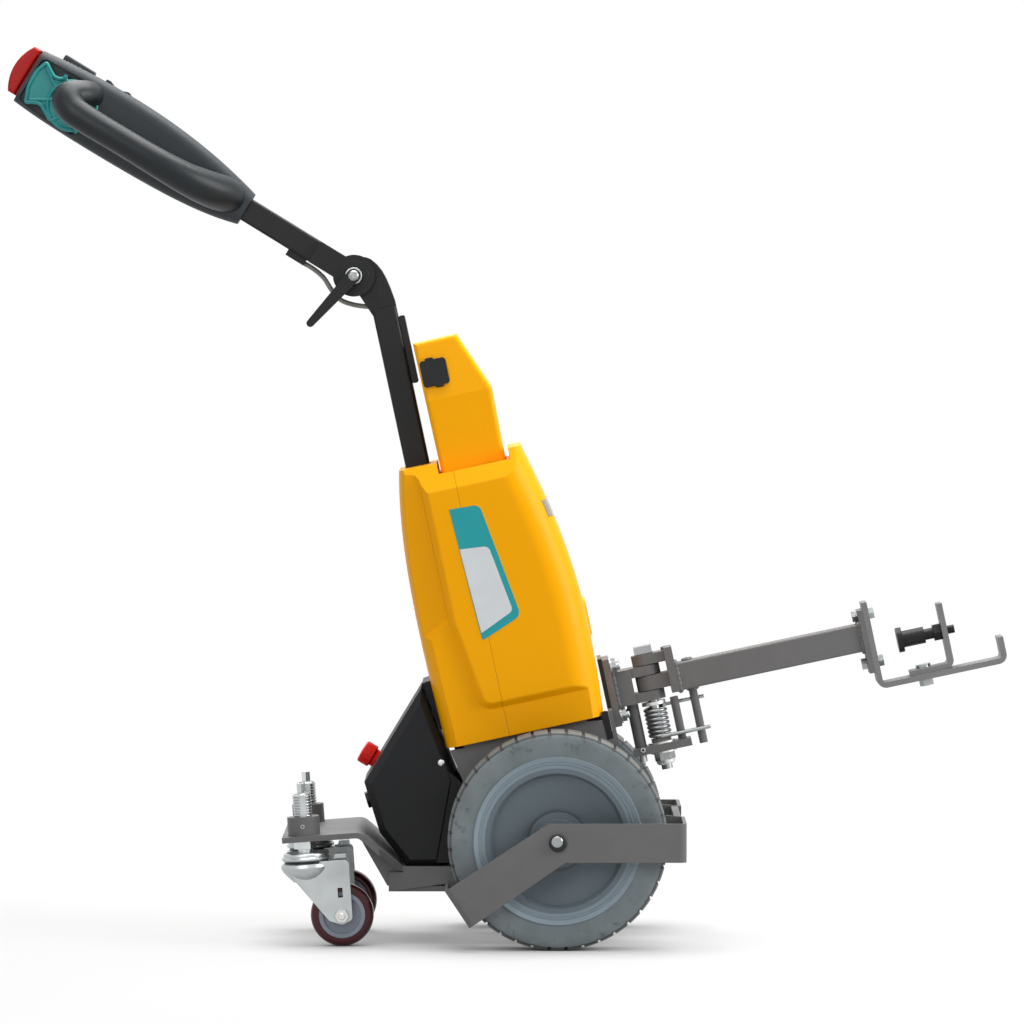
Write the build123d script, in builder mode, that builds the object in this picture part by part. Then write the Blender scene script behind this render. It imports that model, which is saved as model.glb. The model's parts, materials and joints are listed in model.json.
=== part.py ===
from build123d import *
from math import cos, radians, sin
import os

# Walk-behind electric tow tug. Millimetres. +X runs from the tiller to the tow hook, +Z is up
# and the floor lies at Z = 0. The right-hand side of the machine is the -Y side.

# Fits
PIN_GAP = 0.3
SEAT_GAP = 0.2
SEAM = 0.25

# Drive wheels, on one fixed axle
AXLE_X = 69
WHEEL_R = 156
AXLE_Z = WHEEL_R
AXLE_R = 12
TRACK_HALF = 152
TYRE_W = 60
TYRE_DEPTH = 44
TYRE_SHOULDER = 9
WALL_RING = 7
WALL_GROOVE = 1.2
NOTCHES = 34
NOTCH_W = 5
NOTCH_DEPTH = 4.5
NOTCH_RUN = 15
BEAD_R = WHEEL_R - TYRE_DEPTH
RIM_W = 54
RIM_FLANGE = 16
RIM_SLOPE = 4
RIM_LIP = 1.5
RIM_CONE = 4
RIM_RING_R = BEAD_R - RIM_FLANGE
RIM_DISH_R = RIM_RING_R - RIM_SLOPE
RIM_FLOOR = 9
RIM_BACK = -2
HUB_R = 31
HUB_FACE = 24
HUB_BACK = -28
HUB_RING_R = 40
HUB_RING_FACE = 15

# Body tilt, taken about the axle
BODY_TILT = 12
TILT_COS = cos(radians(BODY_TILT))
TILT_SIN = sin(radians(BODY_TILT))
SIDE = Plane(origin=(AXLE_X, 0, AXLE_Z), x_dir=(TILT_COS, 0, TILT_SIN), z_dir=(0, -1, 0))
DECK = Plane(origin=(AXLE_X, 0, AXLE_Z), x_dir=(TILT_COS, 0, TILT_SIN), z_dir=(-TILT_SIN, 0, TILT_COS))
FACE = Plane(origin=(AXLE_X, 0, AXLE_Z), x_dir=(0, 1, 0), z_dir=(TILT_COS, 0, TILT_SIN))
UPRIGHT = Plane(origin=(AXLE_X, 0, AXLE_Z), x_dir=(1, 0, 0), z_dir=(0, -1, 0))

# Wheel guards: a level arm ahead of the axle and a falling arm behind it, both bent in round the tyre
GUARD_GAP = 25
GUARD_Y = TRACK_HALF + TYRE_W / 2 + GUARD_GAP
GUARD_T = 5
GUARD_BEND = 4
GUARD_CLEAR = 26
TAIL_CLEAR = 18.2
NOSE_X = WHEEL_R + GUARD_CLEAR
NOSE_Z = (-28, 27)
KNEE_TOP = (-13, 27)
KNEE_LOW = (11, -28)
TAIL_TOP_ANGLE = 203.3
TAIL_LOW_ANGLE = 224.1
TAIL_R = WHEEL_R + TAIL_CLEAR
TAIL_TOP = (TAIL_R * cos(radians(TAIL_TOP_ANGLE)), TAIL_R * sin(radians(TAIL_TOP_ANGLE)))
TAIL_LOW = (TAIL_R * cos(radians(TAIL_LOW_ANGLE)), TAIL_R * sin(radians(TAIL_LOW_ANGLE)))
BOLT_HEAD_R = 12.5
BOLT_HEAD_H = 6

# Chassis side plates and their cross pieces, measured from the axle
PLATE_Y = 93
PLATE_T = 5
FLOOR_X = (-241, -129)
FLOOR_Z = (-80, -72)
PLATE_LOW = [(FLOOR_X[0], FLOOR_Z[0]), (FLOOR_X[0], -52), (-143, -52), (-135, 79), (-153, 122), (-133, 126),
             (-131, 174), (31, 216), (42, 164), (73, 166), (103, 34), (NOSE_X, NOSE_Z[1]),
             (NOSE_X, NOSE_Z[0]), (81, -60), (-9, -106), TAIL_LOW, TAIL_TOP]
CROSS_T = 10
TRAY_U = (-104, 62)
TRAY_V = 300
TRAY_T = 6
PLATE_FOOT_V = 148
PLATE_HIGH = [(TRAY_U[0], PLATE_FOOT_V), (TRAY_U[0], TRAY_V), (TRAY_U[1], TRAY_V), (76, PLATE_FOOT_V)]
FRONT_U = 108
FRONT_T = 6
FRONT_V = (-20, 160)
TONGUE_V = 232
TONGUE_Y = 46
PAD_SIZE = 24
PAD_SPOTS = [(-86, 270), (40, 270), (-86, 190), (40, 190)]

# Drive motor and transaxle, kept as one block
DRIVE_LENGTH = 150
DRIVE_HEIGHT = 140
DRIVE_ROUND = 9

# Cover: share of its height, rear edge and front edge of each section
COVER_LOW_V = 155
COVER_DECK_V = 541
DECK_LIP = 16
COVER_SECTIONS = [(0, -129, 101), (0.236, -132, 106), (0.4975, -133, 103), (0.726, -129, 90), (1, -113, 64)]
COVER_CORNER = 30
COVER_WALL = 4
COVER_Y = 104
COVER_SIDE_Y = 95.5
COVER_NOTCH_U = (-58, 46)
PANEL_CORNER = 44
PANEL_Y = 114
PANEL = [(-88, 2 * COVER_DECK_V), (-88, 331), (-68, 198), (2 * PANEL_Y, 198),
         (2 * PANEL_Y, 2 * COVER_DECK_V)]
PANEL_ROUND = 20
PANEL_DRAFT = 40
PANEL_SOFT = 5
PANEL_WALL = 4.5
PANEL_HOLLOW = [(-58, COVER_DECK_V - 40), (22, COVER_DECK_V - 46), (42, 360), (40, 222), (-46, 222)]
BEVEL_V = COVER_DECK_V - 23
BEVEL_IN = 32
RECESS_U = (-86, -150)
RECESS = [(RECESS_U[0], 2 * COVER_DECK_V), (RECESS_U[0], 334), (RECESS_U[1], 288),
          (RECESS_U[1], 2 * COVER_DECK_V)]
RECESS_DEPTH = (5.5, 14)
RECESS_DRAFT = 45
SEAM_U = -37
SEAM_LINE = [(2 * RECESS_U[1], 2 * COVER_DECK_V), (SEAM_U, 2 * COVER_DECK_V), (SEAM_U, 0),
             (2 * RECESS_U[1], 0)]
BOSS_V = (262, 326)
BOSS_Y = 60
BOSS_U = (92, 109)
BOSS_ROUND = 14
BOSS_DRAFT = 20
BOSS_SOFT = 6

# Battery pack, its flap and its latch
BATTERY_TOP = 190
BATTERY_LEAN_V = COVER_DECK_V + 105
BATTERY_LEAN = 12
BATTERY = [(-56, COVER_DECK_V + BATTERY_TOP - 1), (7, COVER_DECK_V + BATTERY_TOP), (41, BATTERY_LEAN_V),
           (39, COVER_DECK_V), (39, TRAY_V), (-54, TRAY_V), (-54, COVER_DECK_V + 3)]
BATTERY_Y = 78
BATTERY_ROUND = 6
BATTERY_GAP = 1.5
FLAP_U = -34
FLAP_RISE = 38
FLAP_SIZE = 38
FLAP_TAB = 12
FLAP_T = 4
FLAP_ROUND = 5
LATCH_U = (-69, -60)
LATCH_V = (COVER_DECK_V + 133, COVER_DECK_V + 232)
LATCH_Y = 18

# Column and tiller joint
COLUMN_U = (-104, -69)
COLUMN_Y = 20
COLUMN_ROUND = 5
COLUMN_TOP = COVER_DECK_V + 247
PIVOT_UV = (-119, COVER_DECK_V + 302)
KNUCKLE_R = 28
KNUCKLE_Y = 17.5
NECK_FOOT = COLUMN_TOP - 28
NECK = [(COLUMN_U[0], NECK_FOOT), (COLUMN_U[1], NECK_FOOT), (COLUMN_U[1], COLUMN_TOP + 9),
        (-78, COLUMN_TOP + 44), (-97, COLUMN_TOP + 73), PIVOT_UV, (-119, COLUMN_TOP + 30),
        (COLUMN_U[0], COLUMN_TOP - 8)]
PIVOT = SIDE.from_local_coords(Vector(PIVOT_UV[0], PIVOT_UV[1], 0))
CLAMP_R = 6
CLAMP_BOSS_R = 12
CLAMP_BOSS_GAP = 1.5
LEVER_Y = 37
LEVER_T = 8
LEVER_ROOT_R = 10
LEVER_TIP_R = 5.5
LEVER_DX = -62
LEVER_DZ = -68

# Tiller, drawn along its own length from the joint
TILLER_RISE = 31.6
RISE_COS = cos(radians(TILLER_RISE))
RISE_SIN = sin(radians(TILLER_RISE))
ARM_SIDE = Plane(origin=PIVOT, x_dir=(-RISE_COS, 0, RISE_SIN), z_dir=(0, 1, 0))
ARM_CROSS = Plane(origin=PIVOT, x_dir=(0, -1, 0), z_dir=(-RISE_COS, 0, RISE_SIN))
JOINT = Plane(origin=PIVOT, x_dir=(1, 0, 0), z_dir=(0, -1, 0))
CHEEK_R = 30
CHEEK_RING_R = (14, 21.5)
CHEEK_RING_H = 0.8
CHEEK_Y = (18.5, 26.5)
YOKE_T = (35, 66)
TUBE_HALF = 17
TUBE_ROUND = 4
CLIP_T = (70, 100)
CLIP_H = 9
# Head: distance from the joint, width, height and height of the middle above the tube axis
HEAD_SECTIONS = [(182, 46, 50, 0), (300, 72, 90, 2), (410, 88, 98, 3), (500, 92, 92, 1), (546, 86, 84, 0)]
HEAD_ROUND = 16
POCKET = [(541, 33), (541, -36), (500, -40), (446, -40), (436, 0), (446, 38)]
POCKET_ROUND = 8
POCKET_Y = 37
CAP_NECK = 3
CAP_NECK_HALF = 34
CAP_HALF = 40
CAP_FOOT = -34
CAP_EDGE = 11
CAP_CROWN = 22
CAP_ROUND = 4
BUTTON_T = (468, 518)
BUTTON_TOP = 54
BUTTON_HALF = 16
BUTTON_ROUND = 3
ROCKER_T = (420, 449)
ROCKER_N = 47
ROCKER_R = 9
ROCKER_HALF = 12
SWITCH_ROOT = 30
GRIP_R = 17
GRIP_PATH = [(447, 24, 30), (462, 18, 64), (488, 4, 84), (440, -3, 97), (330, -3, 95), (250, 0, 66),
             (206, 3, 6)]
GRIP_DISC_TN = (455, 25)
GRIP_DISC_R = 16
GRIP_DISC_Y = 54
THROTTLE_TIPS = [(535, 29), (531, -32)]
THROTTLE_CROWN = (538, -1)
THROTTLE_WAIST = [(512, 17), (509, -23)]
THROTTLE_HUB = (482, -13)
THROTTLE_HUB_R = 19.5
THROTTLE_JOIN = [(491, 4.3), (491, -30.3)]
THROTTLE_ROUND = 3
THROTTLE_Y = 53
THROTTLE_POCKET = [(530, 15), (527, -20), (509, -7)]
THROTTLE_POCKET_ROUND = 3
THROTTLE_POCKET_DEPTH = 4
CABLE_R = 3.5
CABLE_PATH = [(-71.2, 17.3), (-46, 1.8), (-21.3, -38.8), (15.2, -43.8)]
CABLE_BEND = 18

# Controller box behind the wheels, measured from the axle
BOX_FLOOR = -44
BOX = [(-195, 210), (-276, 76), (-254, 4), (-215, BOX_FLOOR), (-165, BOX_FLOOR), (-143, 79)]
BOX_Y = 92
BOX_BEVEL = 10
KNOB_AT = 0.8
KNOB_R = 14
KNOB_H = 24
KNOB_SEAT_R = 17
KNOB_SEAT_H = 5
PLUG_AT = 0.42
PLUG_R = 12
PLUG_H = 8

# Castors and their carrier, measured from the axle
CASTOR_TILT = 4
CASTOR_X = -361
CASTOR_Y = 104
CASTOR_RISE = 2
CASTOR_COS = cos(radians(CASTOR_TILT))
CASTOR_SIN = sin(radians(CASTOR_TILT))
BAR_T = 8
CARRIER = [(-392, -4), (-282, 4), (-221, BOX_FLOOR - BAR_T / 2), (-145, BOX_FLOOR - BAR_T / 2)]
CARRIER_BEND = 16
CARRIER_Y = 130
CARRIER_WAIST_X = -254
GUSSET = [(-284, 0.5), (-222, -51.5), (-219, FLOOR_Z[1]), (-243, FLOOR_Z[1]), (-275, -16)]
GUSSET_T = 6
GUSSET_Y = 87.5
COLLAR_R = 23
COLLAR_H = 27
STEM_R = 10
STEM_RISE = 74
STEM_LOW = -36
STEM_FLAT_R = 6
STEM_FLAT_H = 16
NUT_R = 16
NUT_H = 11
HEAD_DROP = 24
RACE_R = 32
RACE_H = 13
RACE_ROUND = 4
CASTOR_R = 45
CASTOR_W = 30
CASTOR_TRAIL = 46
CASTOR_HUB_R = 33
CASTOR_HUB_RIM = 6
CASTOR_HUB_DISH = 5
CASTOR_BORE_R = 6
CASTOR_BOSS_R = 12
FORK_IN = 20.5
FORK_T = 3.5
FORK_BACK = -20
FORK_FRONT = 15
FORK_SHOULDER = 22
FORK_HEEL = 18
FORK_FOOT = 13
FORK_ROUND = 7
FORK_SLOT = (7, 14)
FORK_SLOT_RISE = 33
FORK_NUT_R = 9
FORK_TOP = -HEAD_DROP - RACE_H
CASTOR_DROP = (CASTOR_R - AXLE_Z - CASTOR_RISE - CASTOR_TRAIL * CASTOR_SIN) / CASTOR_COS

# Tow coupling, in the tilted body
MOUNT_U = FRONT_U + FRONT_T
MOUNT_T = 10
MOUNT_V = (131, 229)
MOUNT_Y = 46
MOUNT_BOLT_Y = 36
MOUNT_BOLT_V = (145, 216)
MOUNT_BOLT_R = 8
MOUNT_BOLT_H = 8
KING_REACH = 51
KING_U = MOUNT_U + MOUNT_T + KING_REACH
KING_R = 8
LINE_V = 181.5
BRACKET_Y = 25
BRACKET_REACH = 24
LUG_R = 19
LUG_GAP = 1
LUG_MIDDLE = 21
LUG_FIXED = 14
LUG_UPPER = 15
MIDDLE_V = LINE_V - LUG_MIDDLE / 2
FIXED_V = (MIDDLE_V - LUG_GAP - LUG_FIXED, MIDDLE_V + LUG_MIDDLE + LUG_GAP)
UPPER_V = FIXED_V[1] + LUG_FIXED + LUG_GAP
KING_HEAD = 26
KING_HEAD_H = 11
KING_NUT_R = 15
KING_NUT_H = 14
STAY_V = (81, 92)
STAY_Y = 20
STAY_END = 12
SPRING_R = 14.5
SPRING_WIRE = 2.2
SPRING_SEAT = 8
SPRING_CLEAR = 9
SPRING_V = (STAY_V[1] + SPRING_SEAT, FIXED_V[0] - SPRING_CLEAR)
SPRING_TURNS = 9
POST_R = 8.5
POST_GAP = 5.8
POST_U = KING_U - SPRING_R - SPRING_WIRE - POST_GAP - POST_R
REST_R = 6
REST_GAP = 7.3
REST_U = KING_U + SPRING_R + SPRING_WIRE + REST_GAP + REST_R
REST_TOP = FIXED_V[0] - 2 * LUG_GAP
STAY_U = (POST_U - STAY_END, REST_U + STAY_END)
PEG_R = 6
PEG_GAP = 17
PEG_U = REST_U + REST_R + PEG_GAP + PEG_R
PEG_LOW = STAY_V[0] - LUG_GAP
LEG_END_U = PEG_U + 2 * PEG_R
ARM_PLATE_T = 12
ARM_PLATE_U = KING_U + 29
ARM_PLATE_V = (161, 227)
ARM_PLATE_Y = 25
BEAM_LENGTH = 272
BEAM_HALF = 20
BEAM_WALL = 3
BEAM_ROUND = 3
END_PLATE_U = ARM_PLATE_U + ARM_PLATE_T + BEAM_LENGTH
END_PLATE_T = 8
END_PLATE_V = (129, 221)

# Hook and its locking pin
HOOK_U = END_PLATE_U + END_PLATE_T
HOOK_Y = 25
HOOK_TOP = 231
HOOK_LOW = 104
HOOK_REACH = 190
HOOK_TIP_U = HOOK_U + HOOK_REACH
HOOK_LIP_V = 142
HOOK_BEND = 9
STAND_FOOT = 49
STAND_LENGTH = 65
STAND_U = (HOOK_U + STAND_FOOT, HOOK_U + STAND_FOOT + STAND_LENGTH)
STAND_TOP = 207
FOOT_V = HOOK_LOW + BAR_T
STAND_Y = 20
PIN_V = 166
PIN_R = 6
PIN_REACH = 11
PLUNGER_NUT_R = 13
PLUNGER_NUT_T = 12
PLUNGER_NECK_T = 13
PLUNGER_BODY_T = 32
PLUNGER_KNOB_T = 8
PLUNGER_R = (18, 12, 8)
HOOK_BOLT_U = STAND_U[0] + 21
HOOK_BOLT_R = 11
HOOK_BOLT_HEAD = 5
HOOK_NUT_R = 10
HOOK_NUT_H = 10
END_BOLT_V = (143, 213)
END_BOLT_R = 9
END_BOLT_H = 8

pieces = {}
SIDES = {"right": -1, "left": 1}


def cover_shell(wall, half, corner, low, high):
    """Closed body of the cover between two levels, its ends moved in by a wall."""
    rise = COVER_DECK_V + DECK_LIP - COVER_LOW_V
    levels = [low] + [COVER_LOW_V + share * rise for share, _, _ in COVER_SECTIONS[1:-1]] + [high]
    with BuildPart() as shell:
        for level, (_, rear, front) in zip(levels, COVER_SECTIONS):
            with BuildSketch(DECK.offset(level)):
                with Locations(((rear + front) / 2, 0)):
                    RectangleRounded(front - rear - 2 * wall, 2 * half, corner)
        loft()
    return shell


def head_shell(grow):
    """Body of the tiller head, every section moved out by grow."""
    with BuildPart() as shell:
        for distance, width, height, middle in HEAD_SECTIONS:
            with BuildSketch(ARM_CROSS.offset(distance)):
                with Locations((0, middle)):
                    RectangleRounded(width + 2 * grow, height + 2 * grow, HEAD_ROUND + grow)
        loft()
    return shell


def castor_top(sign):
    """Level of the carrier's upper face at one castor, leaning with the carrier."""
    return Plane(origin=(AXLE_X + CASTOR_X, sign * CASTOR_Y, AXLE_Z + CASTOR_RISE),
                 x_dir=(CASTOR_COS, 0, CASTOR_SIN), z_dir=(-CASTOR_SIN, 0, CASTOR_COS))


def box_seat(first, second, share):
    """Plane on one rear face of the controller box, at a share of the way down it."""
    edge = Vector(second[0] - first[0], 0, second[1] - first[1])
    seat = UPRIGHT.from_local_coords(Vector(first[0], first[1], 0)) + edge * share
    return Plane(origin=seat, x_dir=(0, 1, 0), z_dir=(edge.Z, 0, -edge.X))


# Chassis
with BuildPart() as chassis_frame:
    for inner in (PLATE_Y - PLATE_T, -PLATE_Y):
        with BuildSketch(UPRIGHT.offset(inner)):
            Polygon(*PLATE_LOW, align=None)
        extrude(amount=PLATE_T)
        with BuildSketch(SIDE.offset(inner)):
            Polygon(*PLATE_HIGH, align=None)
        extrude(amount=PLATE_T)
    with BuildSketch(UPRIGHT):
        with Locations((sum(FLOOR_X) / 2, sum(FLOOR_Z) / 2)):
            Rectangle(FLOOR_X[1] - FLOOR_X[0], FLOOR_Z[1] - FLOOR_Z[0])
        with Locations((NOSE_X - GUARD_T - CROSS_T / 2, sum(NOSE_Z) / 2)):
            Rectangle(CROSS_T, NOSE_Z[1] - NOSE_Z[0])
    extrude(amount=PLATE_Y - PLATE_T / 2, both=True)
    with BuildSketch(SIDE):
        with Locations((sum(TRAY_U) / 2, TRAY_V - TRAY_T / 2)):
            Rectangle(TRAY_U[1] - TRAY_U[0], TRAY_T)
    extrude(amount=PLATE_Y - PLATE_T / 2, both=True)
    with BuildSketch(FACE.offset(FRONT_U)):
        with Locations((0, sum(FRONT_V) / 2)):
            Rectangle(2 * PLATE_Y, FRONT_V[1] - FRONT_V[0])
        with Locations((0, (FRONT_V[1] + TONGUE_V) / 2)):
            Rectangle(2 * TONGUE_Y, TONGUE_V - FRONT_V[1])
    extrude(amount=FRONT_T)
    for inner in (PLATE_Y, -COVER_SIDE_Y):
        with BuildSketch(SIDE.offset(inner)):
            with Locations(*PAD_SPOTS):
                Rectangle(PAD_SIZE, PAD_SIZE)
        extrude(amount=COVER_SIDE_Y - PLATE_Y)
    with BuildSketch(UPRIGHT):
        Circle(AXLE_R + SEAT_GAP)
    extrude(amount=PLATE_Y, both=True, mode=Mode.SUBTRACT)
pieces["chassis_frame"] = chassis_frame

with BuildPart() as drive_unit:
    with BuildSketch(UPRIGHT):
        RectangleRounded(DRIVE_LENGTH, DRIVE_HEIGHT, DRIVE_ROUND)
        Circle(AXLE_R + SEAT_GAP, mode=Mode.SUBTRACT)
    extrude(amount=PLATE_Y - PLATE_T, both=True)
pieces["drive_unit"] = drive_unit

with BuildPart() as axle:
    with BuildSketch(UPRIGHT):
        Circle(AXLE_R)
    extrude(amount=GUARD_Y - GUARD_T, both=True)
pieces["axle"] = axle

for side, sign in SIDES.items():
    with BuildPart() as guard:
        with BuildSketch(UPRIGHT.offset(-sign * GUARD_Y)):
            Polygon((NOSE_X, NOSE_Z[1]), KNEE_TOP, TAIL_TOP, TAIL_LOW, KNEE_LOW, (NOSE_X, NOSE_Z[0]),
                    align=None)
        extrude(amount=sign * GUARD_T)
        with BuildSketch(UPRIGHT.offset(-sign * GUARD_Y)):
            with Locations((NOSE_X - GUARD_T / 2, sum(NOSE_Z) / 2)):
                Rectangle(GUARD_T, NOSE_Z[1] - NOSE_Z[0])
            middle = (Vector(TAIL_TOP) + Vector(TAIL_LOW)) / 2
            inward = -middle.normalized()
            inner = []
            for tail, knee in ((TAIL_LOW, KNEE_LOW), (TAIL_TOP, KNEE_TOP)):
                arm = Vector(knee) - Vector(tail)
                inner.append(Vector(tail) + arm * (GUARD_T / arm.dot(inward)))
            Polygon(TAIL_TOP, TAIL_LOW, *inner, align=None)
        extrude(amount=sign * (GUARD_Y - PLATE_Y))
        outer_face = UPRIGHT.offset(-sign * GUARD_Y)
        inner_face = UPRIGHT.offset(-sign * (GUARD_Y - GUARD_T))
        for corner, across in ((Vector(NOSE_X, sum(NOSE_Z) / 2), Vector(-1, 0)), (middle, inward)):
            outside = outer_face.from_local_coords(corner)
            inside = inner_face.from_local_coords(corner + across * GUARD_T)
            fillet(guard.edges().sort_by_distance(inside)[0], GUARD_BEND)
            fillet(guard.edges().sort_by_distance(outside)[0], GUARD_BEND + GUARD_T)
    pieces["wheel_guard_" + side] = guard

    with BuildPart() as guard_bolt:
        with BuildSketch(UPRIGHT.offset(-sign * GUARD_Y)):
            Circle(BOLT_HEAD_R)
        extrude(amount=-sign * BOLT_HEAD_H)
        fillet(guard_bolt.faces().sort_by(Axis.Y)[0 if sign < 0 else -1].edges(), BOLT_HEAD_H / 2)
    pieces["guard_bolt_" + side] = guard_bolt

# Covers
outer_body = cover_shell(0, PANEL_Y, PANEL_CORNER, COVER_LOW_V, COVER_DECK_V + DECK_LIP)
inner_body = cover_shell(COVER_WALL, COVER_SIDE_Y, COVER_CORNER, 0, COVER_DECK_V - COVER_WALL)

# Taken off the sides: the step around each raised panel, the rear recess, the slope under the deck
side_cuts = []
for sign in SIDES.values():
    with BuildPart() as step:
        with BuildSketch(SIDE.offset(sign * COVER_Y)):
            Rectangle(4 * COVER_DECK_V, 4 * COVER_DECK_V)
        extrude(amount=sign * COVER_Y)
        with BuildSketch(SIDE.offset(sign * COVER_Y)):
            Polygon(*PANEL, align=None)
            fillet(vertices(), PANEL_ROUND)
        extrude(amount=sign * (PANEL_Y - COVER_Y), taper=PANEL_DRAFT, mode=Mode.SUBTRACT)
    with BuildPart() as recess:
        with BuildSketch(SIDE.offset(sign * COVER_Y)):
            Polygon(*RECESS, align=None)
        extrude(amount=-sign * RECESS_DEPTH[1], taper=RECESS_DRAFT)
        with BuildSketch(DECK):
            Polygon((RECESS_U[0], -sign * COVER_Y), (RECESS_U[0], -sign * (COVER_Y - RECESS_DEPTH[0])),
                    (RECESS_U[1], -sign * (COVER_Y - RECESS_DEPTH[1])), (RECESS_U[1], -sign * COVER_Y),
                    align=None)
        extrude(amount=2 * COVER_DECK_V, mode=Mode.INTERSECT)
    with BuildPart() as bevel:
        with BuildSketch(FACE):
            Polygon((sign * PANEL_Y, BEVEL_V), (sign * 2 * PANEL_Y, BEVEL_V),
                    (sign * 2 * PANEL_Y, BEVEL_V + PANEL_Y),
                    (sign * (PANEL_Y - BEVEL_IN), BEVEL_V + PANEL_Y / 2), align=None)
        extrude(amount=2 * PANEL_Y, both=True)
    side_cuts += [step.part, recess.part, bevel.part]

with BuildPart() as shaped_body:
    add(outer_body.part)
    add(side_cuts, mode=Mode.SUBTRACT)
    fillet([edge for edge in shaped_body.edges() if abs(edge.center().Y) > PANEL_Y - SEAM], PANEL_SOFT)

with BuildPart() as front_boss:
    with BuildSketch(FACE.offset(BOSS_U[0])):
        with Locations((0, sum(BOSS_V) / 2)):
            RectangleRounded(2 * BOSS_Y, BOSS_V[1] - BOSS_V[0], BOSS_ROUND)
    extrude(amount=BOSS_U[1] - BOSS_U[0], taper=BOSS_DRAFT)
    fillet(front_boss.faces().sort_by(Axis.X)[-1].edges(), BOSS_SOFT)

for name in ("rear_cover", "front_cover"):
    with BuildPart() as cover:
        add(shaped_body.part)
        add(front_boss.part)
        add(inner_body.part, mode=Mode.SUBTRACT)
        with BuildSketch(SIDE):
            Polygon(*PANEL_HOLLOW, align=None)
        extrude(amount=PANEL_Y - PANEL_WALL, both=True, mode=Mode.SUBTRACT)
        with BuildSketch(DECK.offset(COVER_DECK_V)):
            with Locations((sum(COVER_NOTCH_U) / 2, 0)):
                Rectangle(COVER_NOTCH_U[1] - COVER_NOTCH_U[0], 2 * PANEL_Y)
        extrude(amount=COVER_DECK_V, mode=Mode.SUBTRACT)
        with BuildSketch(DECK.offset(COVER_DECK_V - 2 * COVER_WALL)):
            with Locations(((BATTERY[3][0] + BATTERY[6][0]) / 2, 0)):
                Rectangle(BATTERY[3][0] - BATTERY[6][0] + 2 * BATTERY_GAP, 2 * (BATTERY_Y + BATTERY_GAP))
            with Locations((sum(COLUMN_U) / 2, 0)):
                Rectangle(COLUMN_U[1] - COLUMN_U[0] + 2 * BATTERY_GAP, 2 * (COLUMN_Y + BATTERY_GAP))
        extrude(amount=COVER_DECK_V, mode=Mode.SUBTRACT)
        with BuildSketch(SIDE):
            Polygon(*SEAM_LINE, align=None)
            if name == "front_cover":
                offset(amount=SEAM)
        extrude(amount=2 * PANEL_Y, both=True,
                mode=Mode.INTERSECT if name == "rear_cover" else Mode.SUBTRACT)
    pieces[name] = cover

# Battery, its sides leaning in towards the top
with BuildPart() as battery_case:
    with BuildSketch(SIDE):
        Polygon(*BATTERY, align=None)
    extrude(amount=BATTERY_Y, both=True)
    with BuildSketch(FACE.offset(BATTERY[0][0] - BATTERY_ROUND)):
        for sign in SIDES.values():
            Polygon((sign * BATTERY_Y, BATTERY_LEAN_V), (sign * BATTERY_Y, COVER_DECK_V + BATTERY_TOP),
                    (sign * (BATTERY_Y - BATTERY_LEAN), COVER_DECK_V + BATTERY_TOP), align=None)
    extrude(amount=2 * BATTERY_Y, mode=Mode.SUBTRACT)
    rims = [edge for edge in battery_case.edges().filter_by(Axis.Y, reverse=True)
            if abs(SIDE.to_local_coords(edge.center()).Y - BATTERY_LEAN_V) > BATTERY_ROUND]
    fillet(rims, BATTERY_ROUND)
pieces["battery_case"] = battery_case

LEAN_RISE = COVER_DECK_V + BATTERY_TOP - BATTERY_LEAN_V
LEAN_OUT = (SIDE.z_dir * LEAN_RISE + SIDE.y_dir * BATTERY_LEAN).normalized()
with BuildPart() as charging_flap:
    fold = SIDE.from_local_coords(Vector(FLAP_U, BATTERY_LEAN_V, BATTERY_Y))
    with BuildSketch(Plane(origin=fold, x_dir=SIDE.x_dir, z_dir=LEAN_OUT)):
        with Locations((0, FLAP_RISE)):
            RectangleRounded(FLAP_SIZE, FLAP_SIZE, FLAP_ROUND)
            with Locations((-FLAP_TAB / 3, FLAP_SIZE / 2), (FLAP_TAB / 3, -FLAP_SIZE / 2)):
                RectangleRounded(FLAP_TAB, FLAP_TAB / 2, FLAP_TAB / 6)
    extrude(amount=FLAP_T)
pieces["charging_flap"] = charging_flap

with BuildPart() as battery_latch:
    with BuildSketch(SIDE):
        with Locations((sum(LATCH_U) / 2, sum(LATCH_V) / 2)):
            RectangleRounded(LATCH_U[1] - LATCH_U[0], LATCH_V[1] - LATCH_V[0], (LATCH_U[1] - LATCH_U[0]) / 3)
    extrude(amount=LATCH_Y, both=True)
pieces["battery_latch"] = battery_latch

# Column and joint
with BuildPart() as column:
    with BuildSketch(SIDE):
        with Locations((sum(COLUMN_U) / 2, (TRAY_V + COLUMN_TOP) / 2)):
            Rectangle(COLUMN_U[1] - COLUMN_U[0], COLUMN_TOP - TRAY_V)
    extrude(amount=COLUMN_Y, both=True)
    fillet(column.edges().filter_by(Axis((0, 0, 0), DECK.z_dir)), COLUMN_ROUND)
    with BuildSketch(SIDE):
        Polygon(*NECK, align=None)
        with Locations(PIVOT_UV):
            Circle(KNUCKLE_R)
            Circle(CLAMP_R + PIN_GAP, mode=Mode.SUBTRACT)
    extrude(amount=KNUCKLE_Y, both=True)
pieces["column"] = column

with BuildPart() as clamp_bolt:
    with BuildSketch(SIDE):
        with Locations(PIVOT_UV):
            Circle(CLAMP_R)
    extrude(amount=LEVER_Y - CLAMP_R / 2, both=True)
    for sign in SIDES.values():
        with BuildSketch(SIDE.offset(sign * LEVER_Y)):
            with Locations(PIVOT_UV):
                Circle(CLAMP_BOSS_R)
        extrude(amount=-sign * (LEVER_Y - CHEEK_Y[1] - CLAMP_BOSS_GAP))
pieces["clamp_bolt"] = clamp_bolt

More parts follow.
